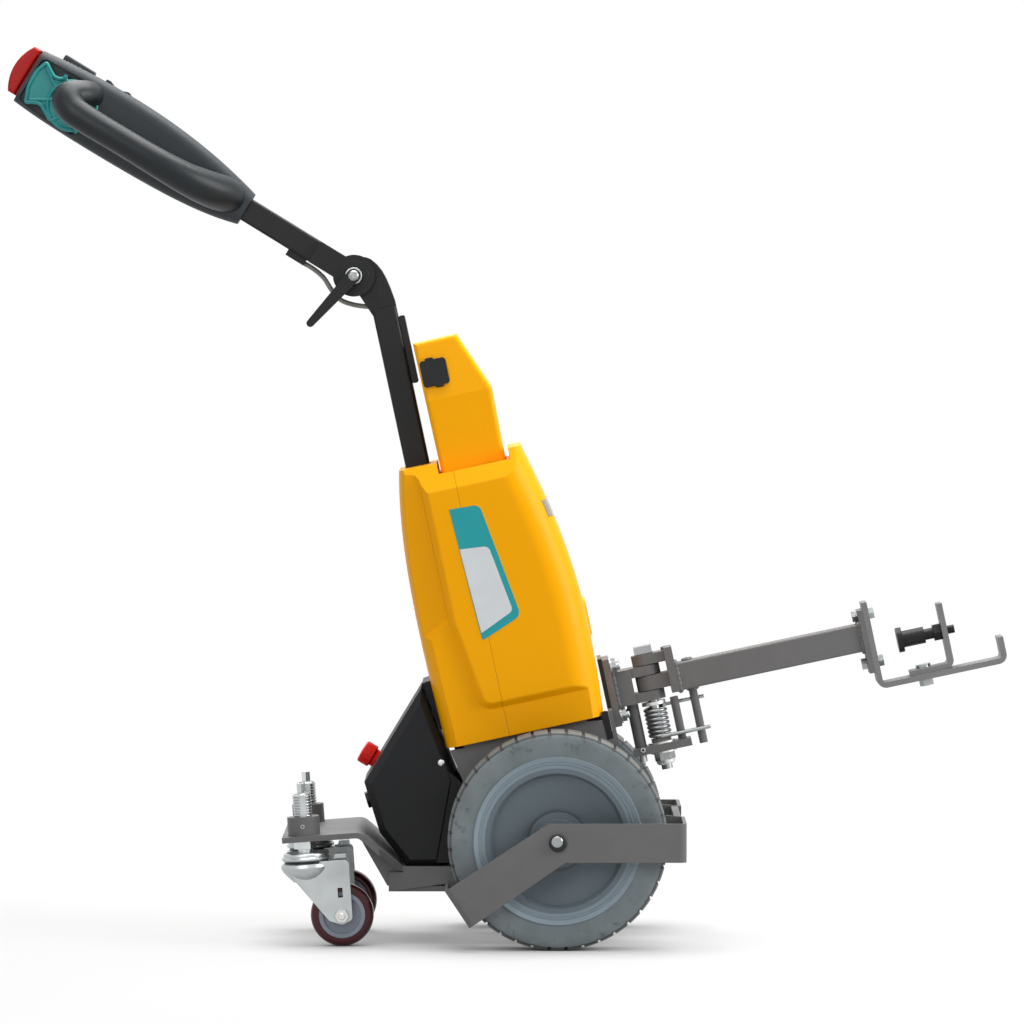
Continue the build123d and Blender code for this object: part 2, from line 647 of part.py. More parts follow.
with BuildPart() as clamp_lever:
    with BuildSketch(JOINT.offset(LEVER_Y)):
        Circle(LEVER_ROOT_R)
        with Locations((LEVER_DX, LEVER_DZ)):
            Circle(LEVER_TIP_R)
        make_hull()
    extrude(amount=LEVER_T)
pieces["clamp_lever"] = clamp_lever

# Tiller
with BuildPart() as tiller_tube:
    with BuildSketch(ARM_SIDE):
        with Locations(((YOKE_T[0] + HEAD_SECTIONS[0][0]) / 2, 0)):
            Rectangle(HEAD_SECTIONS[0][0] - YOKE_T[0], 2 * TUBE_HALF)
    extrude(amount=TUBE_HALF, both=True)
    fillet(tiller_tube.edges().filter_by(Axis((0, 0, 0), ARM_CROSS.z_dir)), TUBE_ROUND)
    with BuildSketch(ARM_SIDE):
        with Locations((sum(CLIP_T) / 2, -TUBE_HALF - CLIP_H / 2)):
            Rectangle(CLIP_T[1] - CLIP_T[0], CLIP_H)
    extrude(amount=TUBE_HALF - TUBE_ROUND, both=True)
    with BuildSketch(ARM_SIDE):
        with Locations((sum(YOKE_T) / 2, 0)):
            Rectangle(YOKE_T[1] - YOKE_T[0], 2 * TUBE_HALF)
    extrude(amount=CHEEK_Y[1], both=True)
    for sign in SIDES.values():
        with BuildSketch(ARM_SIDE.offset(sign * CHEEK_Y[0])):
            Circle(CHEEK_R)
            with Locations((YOKE_T[0] / 2, 0)):
                Rectangle(YOKE_T[0], 2 * TUBE_HALF)
            Circle(CLAMP_R + PIN_GAP, mode=Mode.SUBTRACT)
        extrude(amount=sign * (CHEEK_Y[1] - CHEEK_Y[0]))
        with BuildSketch(ARM_SIDE.offset(sign * CHEEK_Y[1])):
            Circle(CHEEK_RING_R[1])
            Circle(CHEEK_RING_R[0], mode=Mode.SUBTRACT)
        extrude(amount=sign * CHEEK_RING_H)
pieces["tiller_tube"] = tiller_tube

with BuildPart() as tiller_head:
    add(head_shell(0).part)
    for sign in SIDES.values():
        with BuildSketch(ARM_SIDE.offset(sign * POCKET_Y)):
            Polygon(*POCKET, align=None)
            fillet(vertices(), POCKET_ROUND)
            with Locations(GRIP_DISC_TN):
                Circle(GRIP_DISC_R, mode=Mode.SUBTRACT)
        extrude(amount=sign * POCKET_Y, mode=Mode.SUBTRACT)
pieces["tiller_head"] = tiller_head
head_seat = head_shell(SEAT_GAP)
HEAD_END = HEAD_SECTIONS[-1][0]

with BuildPart() as stop_cap:
    with BuildSketch(ARM_SIDE):
        with Locations((HEAD_END + CAP_NECK / 2, 0)):
            Rectangle(CAP_NECK, 2 * CAP_NECK_HALF)
    extrude(amount=CAP_NECK_HALF, both=True)
    with BuildSketch(ARM_SIDE):
        with BuildLine():
            foot = HEAD_END + CAP_NECK
            crown = ThreePointArc((foot + CAP_EDGE, CAP_HALF), (foot + CAP_CROWN, CAP_HALF + CAP_FOOT),
                                  (foot + CAP_EDGE, CAP_FOOT))
            Polyline(crown @ 0, (foot, CAP_HALF), (foot, CAP_FOOT), crown @ 1)
        make_face()
    extrude(amount=CAP_HALF, both=True)
    ends = stop_cap.faces().sort_by(Axis.Y)
    fillet(ends[0].edges() + ends[-1].edges(), CAP_ROUND)
pieces["stop_cap"] = stop_cap

with BuildPart() as button_pad:
    with BuildSketch(ARM_SIDE):
        with Locations((sum(BUTTON_T) / 2, (BUTTON_TOP + SWITCH_ROOT) / 2)):
            Rectangle(BUTTON_T[1] - BUTTON_T[0], BUTTON_TOP - SWITCH_ROOT)
    extrude(amount=BUTTON_HALF, both=True)
    fillet(button_pad.faces().sort_by(Axis((0, 0, 0), ARM_SIDE.y_dir))[-1].edges(), BUTTON_ROUND)
    add(head_seat.part, mode=Mode.SUBTRACT)
pieces["button_pad"] = button_pad

with BuildPart() as rocker_switch:
    with BuildSketch(ARM_SIDE):
        with Locations((sum(ROCKER_T) / 2, ROCKER_N)):
            SlotOverall(ROCKER_T[1] - ROCKER_T[0], 2 * ROCKER_R)
    extrude(amount=ROCKER_HALF, both=True)
    add(head_seat.part, mode=Mode.SUBTRACT)
pieces["rocker_switch"] = rocker_switch

for side, sign in SIDES.items():
    with BuildPart() as grip:
        with BuildLine() as run:
            Spline(*[ARM_SIDE.from_local_coords(Vector(t, n, sign * y)) for t, n, y in GRIP_PATH])
        with BuildSketch(Plane(origin=run.line @ 0, z_dir=run.line % 0)):
            Circle(GRIP_R)
        sweep()
        with BuildSketch(ARM_SIDE.offset(sign * POCKET_Y)):
            with Locations(GRIP_DISC_TN):
                Circle(GRIP_DISC_R)
        extrude(amount=sign * (GRIP_DISC_Y - POCKET_Y))
        add(head_seat.part, mode=Mode.SUBTRACT)
    pieces["grip_" + side] = grip

    with BuildPart() as throttle:
        with BuildSketch(ARM_SIDE.offset(sign * (POCKET_Y + SEAT_GAP))):
            with BuildLine():
                ThreePointArc(THROTTLE_TIPS[0], THROTTLE_CROWN, THROTTLE_TIPS[1])
                ThreePointArc(THROTTLE_TIPS[1], THROTTLE_WAIST[1], THROTTLE_JOIN[1])
                Line(THROTTLE_JOIN[1], THROTTLE_JOIN[0])
                ThreePointArc(THROTTLE_JOIN[0], THROTTLE_WAIST[0], THROTTLE_TIPS[0])
            make_face()
            fillet(vertices().sort_by(Axis.X)[-2:], THROTTLE_ROUND)
            with Locations(THROTTLE_HUB):
                Circle(THROTTLE_HUB_R)
        extrude(amount=sign * (THROTTLE_Y - POCKET_Y - SEAT_GAP))
        with BuildSketch(ARM_SIDE.offset(sign * THROTTLE_Y)):
            Polygon(*THROTTLE_POCKET, align=None)
            fillet(vertices(), THROTTLE_POCKET_ROUND)
        extrude(amount=-sign * THROTTLE_POCKET_DEPTH, mode=Mode.SUBTRACT)
    pieces["throttle_" + side] = throttle

with BuildPart() as tiller_cable:
    with BuildLine(JOINT) as run:
        FilletPolyline(*CABLE_PATH, radius=CABLE_BEND)
    with BuildSketch(Plane(origin=run.line @ 0, z_dir=run.line % 0)):
        Circle(CABLE_R)
    sweep()
pieces["tiller_cable"] = tiller_cable

# Controller box
with BuildPart() as controller_box:
    with BuildSketch(UPRIGHT):
        Polygon(*BOX, align=None)
    extrude(amount=BOX_Y, both=True)
    ends = controller_box.faces().sort_by(Axis.Y)
    chamfer(ends[0].edges() + ends[-1].edges(), BOX_BEVEL)
pieces["controller_box"] = controller_box

with BuildPart() as isolator_knob:
    with BuildSketch(box_seat(BOX[0], BOX[1], KNOB_AT)):
        Circle(KNOB_SEAT_R)
    extrude(amount=KNOB_SEAT_H)
    with BuildSketch(box_seat(BOX[0], BOX[1], KNOB_AT)):
        Circle(KNOB_R)
    extrude(amount=KNOB_SEAT_H + KNOB_H)
pieces["isolator_knob"] = isolator_knob

with BuildPart() as charge_plug:
    with BuildSketch(box_seat(BOX[1], BOX[2], PLUG_AT)):
        Circle(PLUG_R)
    extrude(amount=PLUG_H)
pieces["charge_plug"] = charge_plug

# Castor carrier, one bent plate, and castors
with BuildPart() as castor_carrier:
    with BuildSketch(UPRIGHT):
        with BuildLine():
            FilletPolyline(*CARRIER, radius=CARRIER_BEND)
        trace(line_width=BAR_T)
    extrude(amount=CARRIER_Y, both=True)
    with BuildSketch(Plane(origin=(AXLE_X, 0, 0))):
        for sign in SIDES.values():
            Polygon((CARRIER_WAIST_X, sign * CARRIER_Y), (CARRIER[2][0], sign * PLATE_Y), (0, sign * PLATE_Y),
                    (0, sign * CARRIER_Y), align=None)
    extrude(amount=2 * AXLE_Z, mode=Mode.SUBTRACT)
    for sign in SIDES.values():
        with BuildSketch(UPRIGHT.offset(sign * GUSSET_Y)):
            Polygon(*GUSSET, align=None)
        extrude(amount=-sign * GUSSET_T)
        with BuildSketch(castor_top(sign)):
            Circle(COLLAR_R)
        extrude(amount=COLLAR_H)
        with BuildSketch(castor_top(sign)):
            Circle(STEM_R + SEAT_GAP)
        extrude(amount=COLLAR_H, both=True, mode=Mode.SUBTRACT)
pieces["castor_carrier"] = castor_carrier

for side, sign in SIDES.items():
    top = castor_top(sign)
    fork_side = Plane(origin=top.origin, x_dir=top.x_dir, z_dir=(0, -1, 0))
    hub_side = Plane(origin=top.from_local_coords(Vector(CASTOR_TRAIL, 0, CASTOR_DROP)), z_dir=(0, -1, 0))

    with BuildPart() as stem:
        with BuildSketch(top.offset(STEM_LOW)):
            Circle(STEM_R)
        extrude(amount=STEM_RISE - STEM_FLAT_H - STEM_LOW)
        with BuildSketch(top.offset(STEM_RISE - STEM_FLAT_H)):
            RegularPolygon(STEM_FLAT_R, 4)
        extrude(amount=STEM_FLAT_H)
        with BuildSketch(top.offset(-BAR_T - NUT_H - PIN_GAP)):
            RegularPolygon(NUT_R, 6)
        extrude(amount=NUT_H)
    pieces["castor_stem_" + side] = stem

    with BuildPart() as fork:
        with BuildSketch(top.offset(-HEAD_DROP)):
            Circle(RACE_R)
        extrude(amount=-RACE_H)
        fillet(fork.edges(), RACE_ROUND)
        with BuildSketch(top.offset(FORK_TOP)):
            Circle(FORK_IN + FORK_T)
            with Locations((CASTOR_TRAIL / 2, 0)):
                Rectangle(CASTOR_TRAIL / 2, 2 * (FORK_IN + FORK_T))
            make_hull()
        extrude(amount=-FORK_T)
        for leg in (-1, 1):
            with BuildSketch(fork_side.offset(leg * FORK_IN)):
                Polygon((FORK_BACK, FORK_TOP), (CASTOR_TRAIL + FORK_FRONT, FORK_TOP),
                        (CASTOR_TRAIL + FORK_FRONT, CASTOR_DROP - FORK_FOOT / 2),
                        (CASTOR_TRAIL, CASTOR_DROP - FORK_FOOT),
                        (CASTOR_TRAIL - FORK_HEEL, CASTOR_DROP - FORK_FOOT / 2),
                        (FORK_BACK, FORK_TOP - FORK_SHOULDER), align=None)
                fillet(vertices(), FORK_ROUND)
                with Locations((CASTOR_TRAIL, CASTOR_DROP + FORK_SLOT_RISE)):
                    Rectangle(*FORK_SLOT, mode=Mode.SUBTRACT)
            extrude(amount=leg * FORK_T)
            with BuildSketch(fork_side.offset(leg * (FORK_IN + FORK_T))):
                with Locations((CASTOR_TRAIL, CASTOR_DROP)):
                    RegularPolygon(FORK_NUT_R, 6)
            extrude(amount=leg * FORK_T)
        with BuildSketch(fork_side):
            with Locations((CASTOR_TRAIL, CASTOR_DROP)):
                Circle(CASTOR_BORE_R)
        extrude(amount=FORK_IN + FORK_T, both=True)
        with BuildSketch(top.offset(-HEAD_DROP)):
            Circle(STEM_R + PIN_GAP)
        extrude(amount=STEM_LOW + HEAD_DROP - PIN_GAP, mode=Mode.SUBTRACT)
    pieces["castor_fork_" + side] = fork

    with BuildPart() as castor_hub:
        with BuildSketch(hub_side):
            Circle(CASTOR_HUB_R)
            Circle(CASTOR_BORE_R + PIN_GAP, mode=Mode.SUBTRACT)
        extrude(amount=CASTOR_W / 2, both=True)
        for face in (-1, 1):
            with BuildSketch(hub_side.offset(face * CASTOR_W / 2)):
                Circle(CASTOR_HUB_R - CASTOR_HUB_RIM)
                Circle(CASTOR_BOSS_R, mode=Mode.SUBTRACT)
            extrude(amount=-face * CASTOR_HUB_DISH, mode=Mode.SUBTRACT)
    pieces["castor_hub_" + side] = castor_hub

    with BuildPart() as castor_tyre:
        with BuildSketch(hub_side):
            Circle(CASTOR_R)
            Circle(CASTOR_HUB_R + SEAT_GAP, mode=Mode.SUBTRACT)
        extrude(amount=CASTOR_W / 2, both=True)
        fillet(castor_tyre.edges().filter_by(GeomType.CIRCLE).group_by(SortBy.RADIUS)[-1], CASTOR_W / 6)
    pieces["castor_tyre_" + side] = castor_tyre

# Drive wheels
for side, sign in SIDES.items():
    centre = Plane(origin=(AXLE_X, sign * TRACK_HALF, AXLE_Z), x_dir=(1, 0, 0), z_dir=(0, 0, 1))
    spin = Axis((AXLE_X, 0, AXLE_Z), (0, 1, 0))

    with BuildPart() as rim:
        with BuildSketch(centre):
            face = RIM_W / 2
            Polygon(*[(radius, sign * across) for radius, across in (
                (AXLE_R + PIN_GAP, HUB_FACE), (HUB_R, HUB_FACE), (HUB_R, HUB_RING_FACE),
                (HUB_RING_R, HUB_RING_FACE), (HUB_RING_R, RIM_FLOOR), (RIM_DISH_R, RIM_FLOOR + RIM_CONE),
                (RIM_RING_R, face - RIM_LIP), (BEAD_R - 2 * RIM_LIP, face - RIM_LIP),
                (BEAD_R - 2 * RIM_LIP, face), (BEAD_R, face), (BEAD_R, -face), (RIM_RING_R, -face),
                (RIM_DISH_R, RIM_BACK), (HUB_R, RIM_BACK), (HUB_R, HUB_BACK),
                (AXLE_R + PIN_GAP, HUB_BACK))], align=None)
        revolve(axis=spin)
    pieces["rim_" + side] = rim

    with BuildPart() as tyre:
        with BuildSketch(centre):
            half = [(BEAD_R + SEAT_GAP, RIM_W / 2), (BEAD_R + WALL_RING, TYRE_W / 2 - WALL_GROOVE / 2),
                    (BEAD_R + WALL_RING + WALL_GROOVE, TYRE_W / 2 - 2 * WALL_GROOVE),
                    (WHEEL_R - 2 * TYRE_SHOULDER, TYRE_W / 2), (WHEEL_R - TYRE_SHOULDER, TYRE_W / 2),
                    (WHEEL_R, TYRE_W / 2 - TYRE_SHOULDER)]
            Polygon(*half, *[(radius, -across) for radius, across in reversed(half)], align=None)
        revolve(axis=spin)
        for face in (-1, 1):
            with BuildSketch(Plane(origin=(AXLE_X, sign * TRACK_HALF + face * TYRE_W / 2, AXLE_Z),
                                   x_dir=(1, 0, 0), z_dir=(0, face, 0))):
                with PolarLocations(WHEEL_R, NOTCHES, start_angle=(1 - face) / 4 * 360 / NOTCHES):
                    Rectangle(2 * NOTCH_DEPTH, NOTCH_W)
            extrude(amount=-NOTCH_RUN, mode=Mode.SUBTRACT)
    pieces["tyre_" + side] = tyre

# Tow coupling, fixed part
with BuildPart() as tow_bracket:
    with BuildSketch(FACE.offset(MOUNT_U)):
        with Locations((0, sum(MOUNT_V) / 2)):
            Rectangle(2 * MOUNT_Y, MOUNT_V[1] - MOUNT_V[0])
    extrude(amount=MOUNT_T)
    with BuildSketch(FACE.offset(MOUNT_U + MOUNT_T)):
        with Locations(*[(sign * MOUNT_BOLT_Y, level) for sign in SIDES.values() for level in MOUNT_BOLT_V]):
            RegularPolygon(MOUNT_BOLT_R, 6)
    extrude(amount=MOUNT_BOLT_H)
    with BuildSketch(FACE.offset(MOUNT_U + MOUNT_T)):
        with Locations((0, (FIXED_V[0] + FIXED_V[1] + LUG_FIXED) / 2)):
            Rectangle(2 * BRACKET_Y, FIXED_V[1] + LUG_FIXED - FIXED_V[0])
    extrude(amount=KING_U - BRACKET_REACH - MOUNT_U - MOUNT_T)
    for level in FIXED_V:
        with BuildSketch(DECK.offset(level)):
            with Locations((KING_U - BRACKET_REACH / 2, 0)):
                Rectangle(BRACKET_REACH, 2 * LUG_R)
            with Locations((KING_U, 0)):
                Circle(LUG_R)
                Circle(KING_R + PIN_GAP, mode=Mode.SUBTRACT)
        extrude(amount=LUG_FIXED)
pieces["tow_bracket"] = tow_bracket

with BuildPart() as centring_stay:
    with BuildSketch(DECK.offset(STAY_V[0])):
        with Locations((sum(STAY_U) / 2, 0)):
            Rectangle(STAY_U[1] - STAY_U[0], 2 * STAY_Y)
        with Locations((KING_U, 0)):
            Circle(KING_R + PIN_GAP, mode=Mode.SUBTRACT)
    extrude(amount=STAY_V[1] - STAY_V[0])
    with BuildSketch(DECK.offset(STAY_V[1])):
        with Locations((POST_U, 0)):
            Circle(POST_R)
    extrude(amount=FIXED_V[0] - STAY_V[1])
    with BuildSketch(DECK.offset(STAY_V[1])):
        with Locations((REST_U, 0)):
            Circle(REST_R)
    extrude(amount=REST_TOP - STAY_V[1])
    with BuildSketch(DECK.offset(STAY_V[1])):
        with Locations((KING_U, 0)):
            Circle(SPRING_R)
            Circle(KING_R + PIN_GAP, mode=Mode.SUBTRACT)
    extrude(amount=SPRING_V[0] - STAY_V[1])
pieces["centring_stay"] = centring_stay

with BuildPart() as king_bolt:
    with BuildSketch(DECK.offset(UPPER_V + LUG_UPPER + LUG_GAP)):
        with Locations((KING_U, 0)):
            Rectangle(KING_HEAD, KING_HEAD)
    extrude(amount=KING_HEAD_H)
    with BuildSketch(DECK.offset(UPPER_V + LUG_UPPER + LUG_GAP)):
        with Locations((KING_U, 0)):
            Circle(KING_R)
    extrude(amount=STAY_V[0] - 2 * KING_NUT_H - UPPER_V - LUG_UPPER)
    with BuildSketch(DECK.offset(STAY_V[0])):
        with Locations((KING_U, 0)):
            RegularPolygon(KING_NUT_R, 6)
    extrude(amount=-KING_NUT_H)
pieces["king_bolt"] = king_bolt

with BuildPart() as centring_spring:
    pitch = (SPRING_V[1] - SPRING_V[0]) / SPRING_TURNS
    with BuildSketch(SIDE):
        with BuildLine():
            inside = [(KING_U + SPRING_R - SPRING_WIRE, SPRING_V[1]),
                      (KING_U + SPRING_R - SPRING_WIRE, SPRING_V[0])]
            coils = [(KING_U + SPRING_R + (SPRING_WIRE if turn % 2 else 0), SPRING_V[0] + turn * pitch / 2)
                     for turn in range(2 * SPRING_TURNS + 1)]
            Polyline(*inside, *coils, close=True)
        make_face()
    king_line = Axis(SIDE.from_local_coords(Vector(KING_U, 0, 0)), DECK.z_dir)
    revolve(axis=king_line)
    for sign, level in zip(SIDES.values(), SPRING_V):
        with BuildSketch(FACE.offset(KING_U)):
            with Locations((sign * SPRING_R, level + sign * -SPRING_WIRE)):
                Circle(SPRING_WIRE)
        extrude(amount=LEG_END_U - KING_U)
pieces["centring_spring"] = centring_spring

# Tow arm
with BuildPart() as tow_arm:
    for level, thick in ((MIDDLE_V, LUG_MIDDLE), (UPPER_V, LUG_UPPER)):
        with BuildSketch(DECK.offset(level)):
            with Locations(((KING_U + ARM_PLATE_U) / 2, 0)):
                Rectangle(ARM_PLATE_U - KING_U, 2 * LUG_R)
            with Locations((KING_U, 0)):
                Circle(LUG_R)
                Circle(KING_R + PIN_GAP, mode=Mode.SUBTRACT)
        extrude(amount=thick)
    with BuildSketch(FACE.offset(ARM_PLATE_U)):
        with Locations((0, sum(ARM_PLATE_V) / 2)):
            Rectangle(2 * ARM_PLATE_Y, ARM_PLATE_V[1] - ARM_PLATE_V[0])
    extrude(amount=ARM_PLATE_T)
    with BuildSketch(FACE.offset(ARM_PLATE_U + ARM_PLATE_T)):
        with Locations((0, LINE_V)):
            RectangleRounded(2 * BEAM_HALF, 2 * BEAM_HALF, BEAM_ROUND)
            Rectangle(2 * (BEAM_HALF - BEAM_WALL), 2 * (BEAM_HALF - BEAM_WALL), mode=Mode.SUBTRACT)
    extrude(amount=BEAM_LENGTH)
    with BuildSketch(FACE.offset(END_PLATE_U)):
        with Locations((0, sum(END_PLATE_V) / 2)):
            Rectangle(2 * HOOK_Y, END_PLATE_V[1] - END_PLATE_V[0])
        with Locations((0, END_BOLT_V[0]), (0, END_BOLT_V[1])):
            Circle(END_BOLT_R / 2 + SEAT_GAP, mode=Mode.SUBTRACT)
    extrude(amount=END_PLATE_T)
    with BuildSketch(DECK.offset(PEG_LOW)):
        with Locations((PEG_U, 0)):
            Circle(PEG_R)
    extrude(amount=LINE_V - BEAM_HALF + BEAM_WALL / 2 - PEG_LOW)
pieces["tow_arm"] = tow_arm

with BuildPart() as hook:
    with BuildSketch(SIDE):
        with BuildLine():
            FilletPolyline((HOOK_U + BAR_T / 2, HOOK_TOP), (HOOK_U + BAR_T / 2, HOOK_LOW + BAR_T / 2),
                           (HOOK_TIP_U - BAR_T / 2, HOOK_LOW + BAR_T / 2),
                           (HOOK_TIP_U - BAR_T / 2, HOOK_LIP_V),
                           radius=HOOK_BEND)
        trace(line_width=BAR_T)
    extrude(amount=HOOK_Y, both=True)
    with BuildSketch(DECK.offset(HOOK_LOW)):
        with Locations((HOOK_BOLT_U, 0)):
            Circle(HOOK_BOLT_R / 2 + SEAT_GAP)
    extrude(amount=BAR_T, mode=Mode.SUBTRACT)
    with BuildSketch(FACE.offset(HOOK_U)):
        with Locations((0, END_BOLT_V[0]), (0, END_BOLT_V[1])):
            Circle(END_BOLT_R / 2 + SEAT_GAP)
    extrude(amount=BAR_T, mode=Mode.SUBTRACT)
pieces["hook"] = hook

with BuildPart() as locking_bracket:
    with BuildSketch(SIDE):
        with BuildLine():
            FilletPolyline((STAND_U[0], FOOT_V + BAR_T / 2), (STAND_U[1] - BAR_T / 2, FOOT_V + BAR_T / 2),
                           (STAND_U[1] - BAR_T / 2, STAND_TOP), radius=HOOK_BEND)
        trace(line_width=BAR_T)
    extrude(amount=STAND_Y, both=True)
    with BuildSketch(DECK.offset(FOOT_V)):
        with Locations((HOOK_BOLT_U, 0)):
            Circle(HOOK_BOLT_R / 2 + SEAT_GAP)
    extrude(amount=BAR_T, mode=Mode.SUBTRACT)
    with BuildSketch(FACE.offset(STAND_U[1] - BAR_T)):
        with Locations((0, PIN_V)):
            Circle(PLUNGER_R[2] + SEAT_GAP)
    extrude(amount=BAR_T, mode=Mode.SUBTRACT)
pieces["locking_bracket"] = locking_bracket

with BuildPart() as locking_plunger:
    with BuildSketch(FACE.offset(STAND_U[1] - BAR_T)):
        with Locations((0, PIN_V)):
            RegularPolygon(PLUNGER_NUT_R, 6)
    extrude(amount=-PLUNGER_NUT_T)
    finish = STAND_U[1]
    lengths = (BAR_T + PLUNGER_NUT_T + PLUNGER_NECK_T, PLUNGER_BODY_T, PLUNGER_KNOB_T)
    for length, radius in zip(lengths, reversed(PLUNGER_R)):
        with BuildSketch(FACE.offset(finish)):
            with Locations((0, PIN_V)):
                Circle(radius)
        extrude(amount=-length)
        finish -= length
    with BuildSketch(FACE.offset(STAND_U[1])):
        with Locations((0, PIN_V)):
            Circle(PIN_R)
    extrude(amount=PIN_REACH)
pieces["locking_plunger"] = locking_plunger

with BuildPart() as hook_bolt:
    with BuildSketch(DECK.offset(FOOT_V + BAR_T)):
        with Locations((HOOK_BOLT_U, 0)):
            Circle(HOOK_BOLT_R)
    extrude(amount=HOOK_BOLT_HEAD)
    with BuildSketch(DECK.offset(FOOT_V + BAR_T)):
        with Locations((HOOK_BOLT_U, 0)):
            Circle(HOOK_BOLT_R / 2)
    extrude(amount=-2 * BAR_T)
    with BuildSketch(DECK.offset(HOOK_LOW)):
        with Locations((HOOK_BOLT_U, 0)):
            RegularPolygon(HOOK_NUT_R, 6)
    extrude(amount=-HOOK_NUT_H)
pieces["hook_bolt"] = hook_bolt

for name, level in zip(("end_bolt_lower", "end_bolt_upper"), END_BOLT_V):
    with BuildPart() as end_bolt:
        with BuildSketch(FACE.offset(END_PLATE_U)):
            with Locations((0, level)):
                Circle(END_BOLT_R / 2)
        extrude(amount=END_PLATE_T + BAR_T)
        for face, depth in ((END_PLATE_U, -END_BOLT_H), (HOOK_U + BAR_T, END_BOLT_H)):
            with BuildSketch(FACE.offset(face)):
                with Locations((0, level)):
                    RegularPolygon(END_BOLT_R, 6)
            extrude(amount=depth)
    pieces[name] = end_bolt

os.makedirs("parts", exist_ok=True)
for name, piece in pieces.items():
    piece.part.label = name
    export_step(piece.part, f"parts/{name}.step")
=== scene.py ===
"""Walk-behind electric tow tug: finishes, fine pieces and studio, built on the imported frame."""
import json
import math

import bmesh
import bpy
from mathutils import Matrix, Vector

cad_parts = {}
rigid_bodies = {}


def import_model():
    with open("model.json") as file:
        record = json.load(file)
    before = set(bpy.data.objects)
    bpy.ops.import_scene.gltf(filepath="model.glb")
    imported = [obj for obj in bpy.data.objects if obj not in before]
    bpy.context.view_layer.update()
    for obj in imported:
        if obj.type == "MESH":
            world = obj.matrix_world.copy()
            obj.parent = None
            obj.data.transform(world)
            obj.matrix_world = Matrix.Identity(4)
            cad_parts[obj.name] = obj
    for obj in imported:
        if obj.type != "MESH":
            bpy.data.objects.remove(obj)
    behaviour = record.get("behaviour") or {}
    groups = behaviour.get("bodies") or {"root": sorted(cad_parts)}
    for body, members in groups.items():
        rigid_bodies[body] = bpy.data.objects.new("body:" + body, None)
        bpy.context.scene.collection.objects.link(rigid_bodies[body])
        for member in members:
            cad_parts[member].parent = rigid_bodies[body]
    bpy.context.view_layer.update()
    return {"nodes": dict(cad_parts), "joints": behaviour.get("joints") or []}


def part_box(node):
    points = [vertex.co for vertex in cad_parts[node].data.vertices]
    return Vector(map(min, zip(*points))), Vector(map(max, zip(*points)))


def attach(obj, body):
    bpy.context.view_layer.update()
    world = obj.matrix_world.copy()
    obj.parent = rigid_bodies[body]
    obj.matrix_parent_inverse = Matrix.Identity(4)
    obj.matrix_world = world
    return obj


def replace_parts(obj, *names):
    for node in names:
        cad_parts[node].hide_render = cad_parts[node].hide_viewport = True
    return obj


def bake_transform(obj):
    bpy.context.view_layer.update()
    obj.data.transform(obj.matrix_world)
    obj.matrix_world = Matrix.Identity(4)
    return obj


bl_info = {
    "name": "Walk-behind Tow Tug",
    "version": (1, 0, 0),
    "blender": (4, 5, 0),
    "location": "View3D > Sidebar > Tow Tug",
    "description": "Finishes, fine pieces and studio of a walk-behind electric tow tug",
    "category": "Add Mesh",
}

for leftover in list(bpy.data.objects):
    bpy.data.objects.remove(leftover)
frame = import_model()
JOINTS = {joint["name"]: joint for joint in frame["joints"]}

MM = 0.001
SIDES = {"right": -1, "left": 1}

# The view: width of the picture and row at the camera's height, in pixels, and a pixel's length on the
# machine's middle plane, in metres
PICTURE_WIDTH = 1024
EYE_ROW = 270
PIXEL_LENGTH = 0.00144

BODY_TILT = math.radians(12)
TILLER_RISE = math.radians(31.6)
AXLE = Vector((JOINTS["drive_roll_right"]["pos_m"][0], 0, JOINTS["drive_roll_right"]["pos_m"][2]))
TRACK = JOINTS["drive_roll_left"]["pos_m"][1]
PIVOT = Vector(JOINTS["tiller_tilt"]["pos_m"])
BODY_AXES = Matrix(((math.cos(BODY_TILT), 0, -math.sin(BODY_TILT)), (0, 1, 0),
                    (math.sin(BODY_TILT), 0, math.cos(BODY_TILT))))
TILLER_AXES = Matrix(((-math.cos(TILLER_RISE), 0, math.sin(TILLER_RISE)), (0, -1, 0),
                      (math.sin(TILLER_RISE), 0, math.cos(TILLER_RISE))))


def in_body(along, across, up):
    """Point of the tilted body, given in millimetres from the axle."""
    return AXLE + BODY_AXES @ (Vector((along, across, up)) * MM)


def on_tiller(along, across, up):
    """Point of the tiller, given in millimetres from its joint."""
    return PIVOT + TILLER_AXES @ (Vector((along, -across, up)) * MM)


def in_world(along, across, up):
    """Point of the frame, given in millimetres."""
    return Vector((along, across, up)) * MM


def station(spot, radius):
    """Knot of a tube: a point and the tube's radius there, in metres."""
    return Vector((*spot, radius))


def srgb(red, green, blue):
    """Linear colour of a screen colour given from 0 to 255."""
    return tuple((c / 255 / 12.92) if c / 255 <= 0.04045 else ((c / 255 + 0.055) / 1.055) ** 2.4
                 for c in (red, green, blue))


def shade(colour, factor):
    """A colour made darker or lighter, with full alpha."""
    return tuple(min(1.0, part * factor) for part in colour[:3]) + (1.0,)


class Wire:
    """A node's output that takes part in sums and products."""

    def __init__(self, board, socket):
        self.board, self.socket = board, socket

    def calculate(self, operation, first, second):
        """Wire that carries an operation on two values."""
        return self.board.node("ShaderNodeMath", {"operation": operation}, {0: first, 1: second})

    def __add__(self, other):
        return self.calculate("ADD", self, other)

    def __sub__(self, other):
        return self.calculate("SUBTRACT", self, other)

    def __rsub__(self, other):
        return self.calculate("SUBTRACT", other, self)

    def __mul__(self, other):
        return self.calculate("MULTIPLY", self, other)

    def __pow__(self, other):
        return self.calculate("POWER", self, other)

    def size(self):
        """The value without its sign."""
        return self.calculate("ABSOLUTE", self, 0.0)

    __radd__ = __add__
    __rmul__ = __mul__


